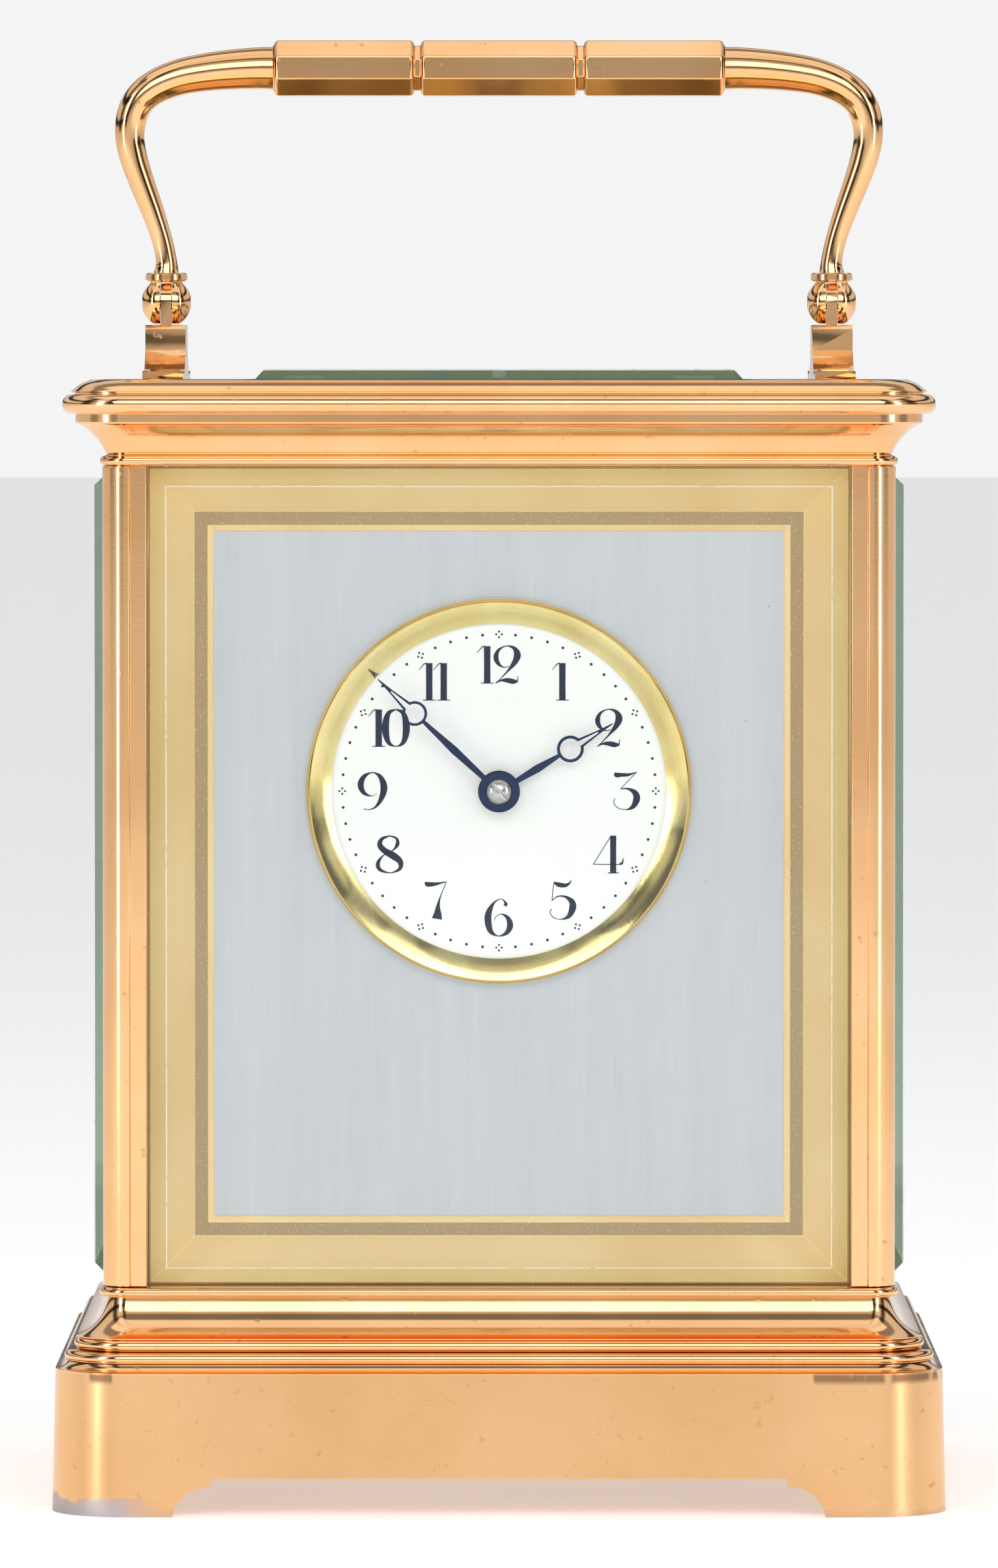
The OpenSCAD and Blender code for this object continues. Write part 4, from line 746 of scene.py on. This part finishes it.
# Strokes of each figure as (across, up, width) in figure heights: thick down, hairline up
stem = [[0, 0.02, 0.17], [0, 0.5, 0.165], [0, 0.98, 0.17]]
flag = [[-0.06, 0.98, 0.03], [-0.14, 0.95, 0.025], [-0.27, 0.80, 0.012]]
serif = [[-0.17, 0.012, 0.022], [0, 0.012, 0.026], [0.17, 0.012, 0.022]]
figures = {
    "1": [stem, flag, serif],
    "2": [[[0.05, 0.45, 0.02], [-0.10, 0.43, 0.03], [-0.24, 0.54, 0.10], [-0.29, 0.70, 0.13],
           [-0.22, 0.88, 0.07], [-0.02, 0.985, 0.025], [0.18, 0.93, 0.09], [0.27, 0.76, 0.18],
           [0.20, 0.56, 0.14], [0.02, 0.33, 0.05], [-0.18, 0.12, 0.022], [-0.30, 0.01, 0.02]],
          [[-0.30, 0.01, 0.02], [-0.16, 0.08, 0.05], [0, 0.085, 0.12], [0.16, 0.055, 0.13],
           [0.27, 0.06, 0.05]], [[0.26, 0.03, 0.04], [0.28, 0.1, 0.025], [0.285, 0.2, 0.015]]],
    "3": [[[-0.28, 0.985, 0.03], [-0.24, 0.925, 0.13], [-0.12, 0.925, 0.10], [0.05, 0.925, 0.08],
           [0.2, 0.965, 0.035], [0.29, 1.0, 0.012]],
          [[0.29, 1.0, 0.018], [0.08, 0.78, 0.018], [-0.13, 0.56, 0.018]],
          [[-0.13, 0.555, 0.02], [0.06, 0.56, 0.05], [0.24, 0.46, 0.14], [0.29, 0.30, 0.18],
           [0.2, 0.10, 0.12], [0.02, 0.015, 0.025], [-0.2, 0.06, 0.02], [-0.31, 0.2, 0.02],
           [-0.28, 0.31, 0.02]]],
    "4": [[[0.12, 0.02, 0.16], [0.12, 0.5, 0.155], [0.12, 0.99, 0.16]],
          [[0.06, 0.98, 0.02], [-0.17, 0.61, 0.02], [-0.4, 0.24, 0.02]],
          [[-0.4, 0.24, 0.02], [0, 0.235, 0.02], [0.34, 0.235, 0.02]],
          [[0.3, 0.24, 0.07], [0.36, 0.28, 0.05], [0.385, 0.4, 0.015]],
          [[-0.02, 0.012, 0.022], [0.12, 0.012, 0.026], [0.27, 0.012, 0.022]]],
    "5": [[[-0.22, 0.98, 0.02], [-0.25, 0.74, 0.02], [-0.27, 0.5, 0.02]],
          [[-0.22, 0.98, 0.04], [-0.1, 0.92, 0.12], [0.08, 0.90, 0.10], [0.2, 0.97, 0.04],
           [0.23, 1.05, 0.012]],
          [[-0.27, 0.5, 0.02], [-0.12, 0.61, 0.03], [0.08, 0.60, 0.06], [0.25, 0.47, 0.15],
           [0.27, 0.3, 0.18], [0.17, 0.09, 0.11], [-0.02, 0.01, 0.025], [-0.22, 0.05, 0.02],
           [-0.32, 0.18, 0.02], [-0.28, 0.28, 0.02]]],
    "6": [[[0.17, 0.79, 0.02], [0.175, 0.84, 0.11], [0.17, 0.89, 0.06], [0.06, 0.985, 0.02],
           [-0.12, 0.90, 0.05], [-0.26, 0.66, 0.15], [-0.29, 0.42, 0.18], [-0.22, 0.14, 0.13],
           [-0.02, 0.015, 0.025], [0.2, 0.10, 0.11], [0.29, 0.30, 0.16], [0.22, 0.5, 0.10],
           [0.06, 0.59, 0.025], [-0.08, 0.52, 0.018], [-0.13, 0.42, 0.012]]],
    "7": [[[-0.28, 0.99, 0.03], [-0.22, 0.93, 0.12], [-0.05, 0.93, 0.10], [0.12, 0.96, 0.05],
           [0.28, 0.99, 0.02]],
          [[0.28, 0.99, 0.02], [0.12, 0.6, 0.03], [0.06, 0.35, 0.10], [0.05, 0.15, 0.2],
           [0.03, 0.02, 0.27]]],
    "8": [[[0, 0.985, 0.03], [-0.2, 0.9, 0.09], [-0.25, 0.74, 0.14], [-0.12, 0.59, 0.16],
           [0.1, 0.46, 0.19], [0.28, 0.31, 0.15], [0.27, 0.12, 0.09], [0.02, 0.015, 0.025],
           [-0.25, 0.1, 0.09], [-0.3, 0.27, 0.10], [-0.16, 0.47, 0.03], [0.08, 0.6, 0.03],
           [0.21, 0.76, 0.10], [0.18, 0.92, 0.06], [0, 0.985, 0.03]]],
    "9": [[[0.12, 0.43, 0.012], [-0.02, 0.37, 0.02], [-0.22, 0.45, 0.10], [-0.31, 0.66, 0.16],
           [-0.22, 0.88, 0.11], [0, 0.985, 0.025], [0.2, 0.88, 0.11], [0.3, 0.62, 0.18],
           [0.25, 0.35, 0.14], [0.1, 0.1, 0.06], [-0.08, 0.015, 0.02], [-0.23, 0.03, 0.02]]],
    "0": [[[0, 0.985, 0.025], [-0.2, 0.87, 0.12], [-0.275, 0.5, 0.19], [-0.2, 0.13, 0.12],
           [0, 0.015, 0.025], [0.2, 0.13, 0.12], [0.275, 0.5, 0.19], [0.2, 0.87, 0.12],
           [0, 0.985, 0.025]]]}
# how far each figure of a pair stands to the right of the hour's place, in figure heights
spacing = {"10": (-0.28, 0.17), "11": (-0.17, 0.21), "12": (-0.31, 0.21)}


def makeNumerals():
    strokes = []
    size = dial["numeralHeight"]
    front = dialFace + domeAt(dial["numeralRadius"]) - dial["paintDeep"] - 0.01
    for hour in range(1, 13):
        turn = math.radians(90 - 30 * hour)
        middle = dialCentre + dial["numeralRadius"] * np.array([math.cos(turn), math.sin(turn)])
        shifts = spacing.get(str(hour), (0,))
        for figure, shift in zip(str(hour), shifts):
            for stroke in figures[figure]:
                line = smoothLine(stroke, 7) * size
                line[:, 2] = np.maximum(line[:, 2], dial["hairline"])
                line[:, :2] += middle + [shift * size, -size / 2]
                strokes.append(ribbonShell(line, front, dial["paintDeep"] + 0.05))
    makePiece("numerals", strokes, paint, "case", (), dial["sharpAngle"])


def makeDots():
    # a dot at each minute, and four in a star at each fifth one
    dots = []
    radius = dial["dotRadius"]
    front = dialFace + domeAt(radius) - dial["paintDeep"]
    disc = np.array([[0, 0], [1, 0], [1, 0.08], [0, 0.08]])
    for minute in range(60):
        turn = math.radians(90 - 6 * minute)
        out = np.array([math.cos(turn), math.sin(turn)])
        along = np.array([-out[1], out[0]])
        spread = dial["starSpread"]
        star = [out * spread, -out * spread, along * spread, -along * spread]
        atHour = minute % 5 == 0
        places, size = (star, dial["starSize"]) if atHour else ([out * 0], dial["dotSize"])
        for place in places:
            x, z = dialCentre + out * radius + place
            dots.append(turnedShell(disc * [size, 1], (x, front, z), 1, 14))
    makePiece("minuteDots", dots, paint, "case", (), dial["sharpAngle"])


makeMask()
makeBezel()
makeEnamel()
makeNumerals()
makeDots()
print("dial work made")

# Handle: two swept arms and a grip of three eight-sided sections

handle = {"armSides": 40, "gripFlats": 6.7, "middle": 18.9, "groove": 0.95, "end": 16.9,
          "corner": 0.3, "shoulder": 0.5, "neck": 1.3, "lean": 0.08, "collarEnd": 27.55,
          "collarFlats": 5.3, "arm": [
              [0, 3.6, 1.52], [0, 4.9, 1.3], [0.5, 7.5, 1.25], [1.65, 11, 1.38],
              [3.0, 14.6, 1.55], [4.0, 17.6, 1.68], [4.45, 20.2, 1.78], [4.2, 22.6, 1.88],
              [3.2, 24.7, 1.98], [1.2, 26.3, 2.08], [-1.6, 27.4, 2.2], [-4.8, 28.0, 2.32],
              [-8.2, 28.35, 2.45], [-11.2, 28.5, 2.55], [-13.0, 28.5, 2.6]]}
pinLow, pinHigh = boxOf("handle_pins")
bracketLow, bracketHigh = boxOf("handle_bracket_right")
gripLow, gripHigh = boxOf("handle_grip")
bracketX = (bracketLow[0] + bracketHigh[0]) / 2
pivotZ = (pinLow[2] + pinHigh[2]) / 2
gripZ = (gripLow[2] + gripHigh[2]) / 2


def makeArm(side, sx):
    # a circle of changing radius carried along the arm's line, square to it
    line = smoothLine(handle["arm"], 8)
    way = np.gradient(line[:, :2], axis=0)
    way[0], way[-1] = (0, 1), (-1, 0)
    way /= np.linalg.norm(way, axis=1)[:, None]
    turn = np.linspace(0, 2 * math.pi, handle["armSides"], endpoint=False)[None]
    radius = line[:, 2:3]
    points = np.zeros((len(line), handle["armSides"], 3))
    points[:, :, 0] = sx * (bracketX + line[:, 0:1] + radius * np.cos(turn) * way[:, 1:2])
    points[:, :, 1] = radius * np.sin(turn)
    points[:, :, 2] = pivotZ + line[:, 1:2] - radius * np.cos(turn) * way[:, 0:1]
    makePiece(f"handleArm_{side}", [gridShell(points)], gilt, "handle",
              [f"handle_arm_{side}"])


def makeGrip():
    # eight corners whose distance across the flats changes along the grip
    flats, c = handle["gripFlats"], handle["corner"]
    half, groove = handle["middle"] / 2, handle["groove"]
    inner = half + groove
    outer = inner + handle["end"]
    cut, low, lean = flats - handle["shoulder"], flats - handle["neck"], handle["lean"]
    right = np.array([[half - c, flats], [half, cut], [half + lean, low], [inner - lean, low],
                      [inner, cut], [inner + c, flats], [outer - c, flats], [outer, cut],
                      [outer + 0.05, flats - 0.9], [handle["collarEnd"], handle["collarFlats"]]])
    stations = np.vstack([(right * [-1, 1])[::-1], right])
    turn = np.radians(22.5 + 45 * np.arange(8))[None]
    radius = stations[:, 1:2] / 2 / math.cos(math.radians(22.5))
    points = np.zeros((len(stations), 8, 3))
    points[:, :, 0] = stations[:, 0:1]
    points[:, :, 1] = radius * np.cos(turn)
    points[:, :, 2] = gripZ + radius * np.sin(turn)
    grip = makePiece("handleGrip", [gridShell(points)], gilt, "handle", ["handle_grip"],
                     sharpAngle=15)
    softenEdges(grip, 0.12, 3, 25)


makeArm("left", -1)
makeArm("right", 1)
makeGrip()
print("handle made")

# Everything else keeps the frame's own shape, merged and shaded; the nodes listed in edges have
# their edges broken

edges = {"pillar_rear_left": 0.12, "pillar_rear_right": 0.12, "handle_bracket_left": 0.1,
         "handle_bracket_right": 0.1, "door_frame": 0.15, "front_plate": 0.12,
         "back_plate": 0.12, "floor_plate": 0.15, "platform_plate": 0.08}
for node in sorted(frame["nodes"]):
    if node not in finished:
        smoothCopy(node, finishFor[slotOf[node]], edges.get(node, 0))
print("movement and fittings finished")

# Floor, light and camera

studio = {"distance": 1300.0, "eyeHeight": 136.2, "aimHeight": 86.8, "view": 184.8,
          "sensor": 36.0, "clip": (0.01, 20), "floorReach": 12.0, "floorGlow": 0.42,
          "tentStrength": 0.84, "background": (1.08, 1.08, 1.085)}
# place, what it is aimed at, width and height in metres, and power in watts
lamps = {"leftSoftBox": ((-0.85, -0.70, 0.30), (0, 0, 0.08), 0.16, 0.9, 2.6),
         "rightSoftBox": ((0.85, -0.70, 0.30), (0, 0, 0.08), 0.16, 0.9, 2.2),
         "topSoftBox": ((0, -0.1, 0.95), (0, 0, 0.1), 1.2, 0.7, 2.2),
         "frontSoftBox": ((0, -1.5, 0.85), (0, 0, 0.08), 1.6, 0.7, 9)}


def makeFloor():
    # plain and flat, wide enough to meet the background in every view
    corners = np.array([[-1, -1, 0], [1, -1, 0], [1, 1, 0], [-1, 1, 0]]) * studio["floorReach"]
    mesh = bpy.data.meshes.new("paleFloor")
    mesh.from_pydata(corners.tolist(), [], [[0, 1, 2, 3]])
    sheet = addObject("paleFloor", mesh)
    f = Finish("palePaper")
    colour = f.blend(f.noise(60), (0.90, 0.90, 0.90), (0.94, 0.94, 0.94))
    mesh.materials.append(f.show(f.shader({"Base Color": colour, "Roughness": 0.9,
                                           "Emission Color": (1, 1, 1, 1),
                                           "Emission Strength": studio["floorGlow"]})))


def makeSky():
    # a white tent with dark gaps: brightness by height, times brightness by compass
    # direction; seen straight on it is one pale colour
    world = bpy.data.worlds.new("studioTent")
    world.use_nodes = True
    bpy.context.scene.world = world
    f = Finish(tree=world.node_tree)
    way = f.add("ShaderNodeTexCoord", output="Generated")
    x, y, z = [f.add("ShaderNodeSeparateXYZ", {}, {0: way}, output=k) for k in range(3)]
    rise = z * 0.5 + 0.5
    turn = f.maths("ARCTAN2", x, y * -1.0) * (0.5 / math.pi) + 0.5
    tiers = f.add("ShaderNodeValToRGB", {"stops": [
        (0.0, 0.80), (0.524, 0.80), (0.532, 0.04), (0.562, 0.04), (0.575, 0.85), (0.66, 0.95),
        (0.68, 0.04), (0.735, 0.04), (0.75, 0.9), (0.86, 1.0), (0.88, 0.35), (1.0, 0.35)]},
        {"Fac": rise}, "Color")
    panels = f.add("ShaderNodeValToRGB", {"stops": [
        (0.0, 1.0), (0.24, 1.0), (0.26, 0.10), (0.30, 0.10), (0.32, 1.0), (0.385, 1.0),
        (0.395, 0.05), (0.425, 0.05), (0.435, 0.75), (0.565, 0.75), (0.575, 0.05), (0.605, 0.05),
        (0.615, 1.0), (0.68, 1.0), (0.70, 0.10), (0.74, 0.10), (0.76, 1.0), (1.0, 1.0)]},
        {"Fac": turn}, "Color")
    light = f.add("ShaderNodeMix", {"data_type": "RGBA", "blend_type": "MULTIPLY"},
                  {0: 1.0, 6: tiers, 7: panels}, output=2)
    direct = f.add("ShaderNodeLightPath", output="Is Camera Ray")
    seen = f.blend(direct, light, studio["background"])
    backdrop = f.add("ShaderNodeBackground", {}, {
        "Color": seen, "Strength": studio["tentStrength"]})
    f.show(backdrop, "ShaderNodeOutputWorld")


def makeLight(name, place, aim, width, height, power):
    lamp = bpy.data.lights.new(name, "AREA")
    lamp.shape = "RECTANGLE"
    lamp.size, lamp.size_y, lamp.energy = width, height, power
    lampObject = addObject(name, lamp)
    lampObject.location = place
    way = Vector(aim) - Vector(place)
    lampObject.rotation_euler = way.to_track_quat("-Z", "Y").to_euler()


def makeCamera():
    # the lens that makes view millimetres at the clock's front fill the sensor, tilted down
    camera = bpy.data.cameras.new("studioCamera")
    camera.sensor_width = studio["sensor"]
    camera.lens = studio["sensor"] * studio["distance"] / studio["view"]
    camera.clip_start, camera.clip_end = studio["clip"]
    cameraObject = addObject("studioCamera", camera)
    cameraObject.location = (0, (baseLow[1] - studio["distance"]) * mm, studio["eyeHeight"] * mm)
    tilt = math.atan((studio["eyeHeight"] - studio["aimHeight"]) / studio["distance"])
    cameraObject.rotation_euler = (math.pi / 2 - tilt, 0, 0)
    bpy.context.scene.camera = cameraObject


makeFloor()
makeSky()
for name, settings in lamps.items():
    makeLight(name, *settings)
makeCamera()
bpy.context.scene.view_settings.view_transform = "Standard"
print("floor, light and camera set")
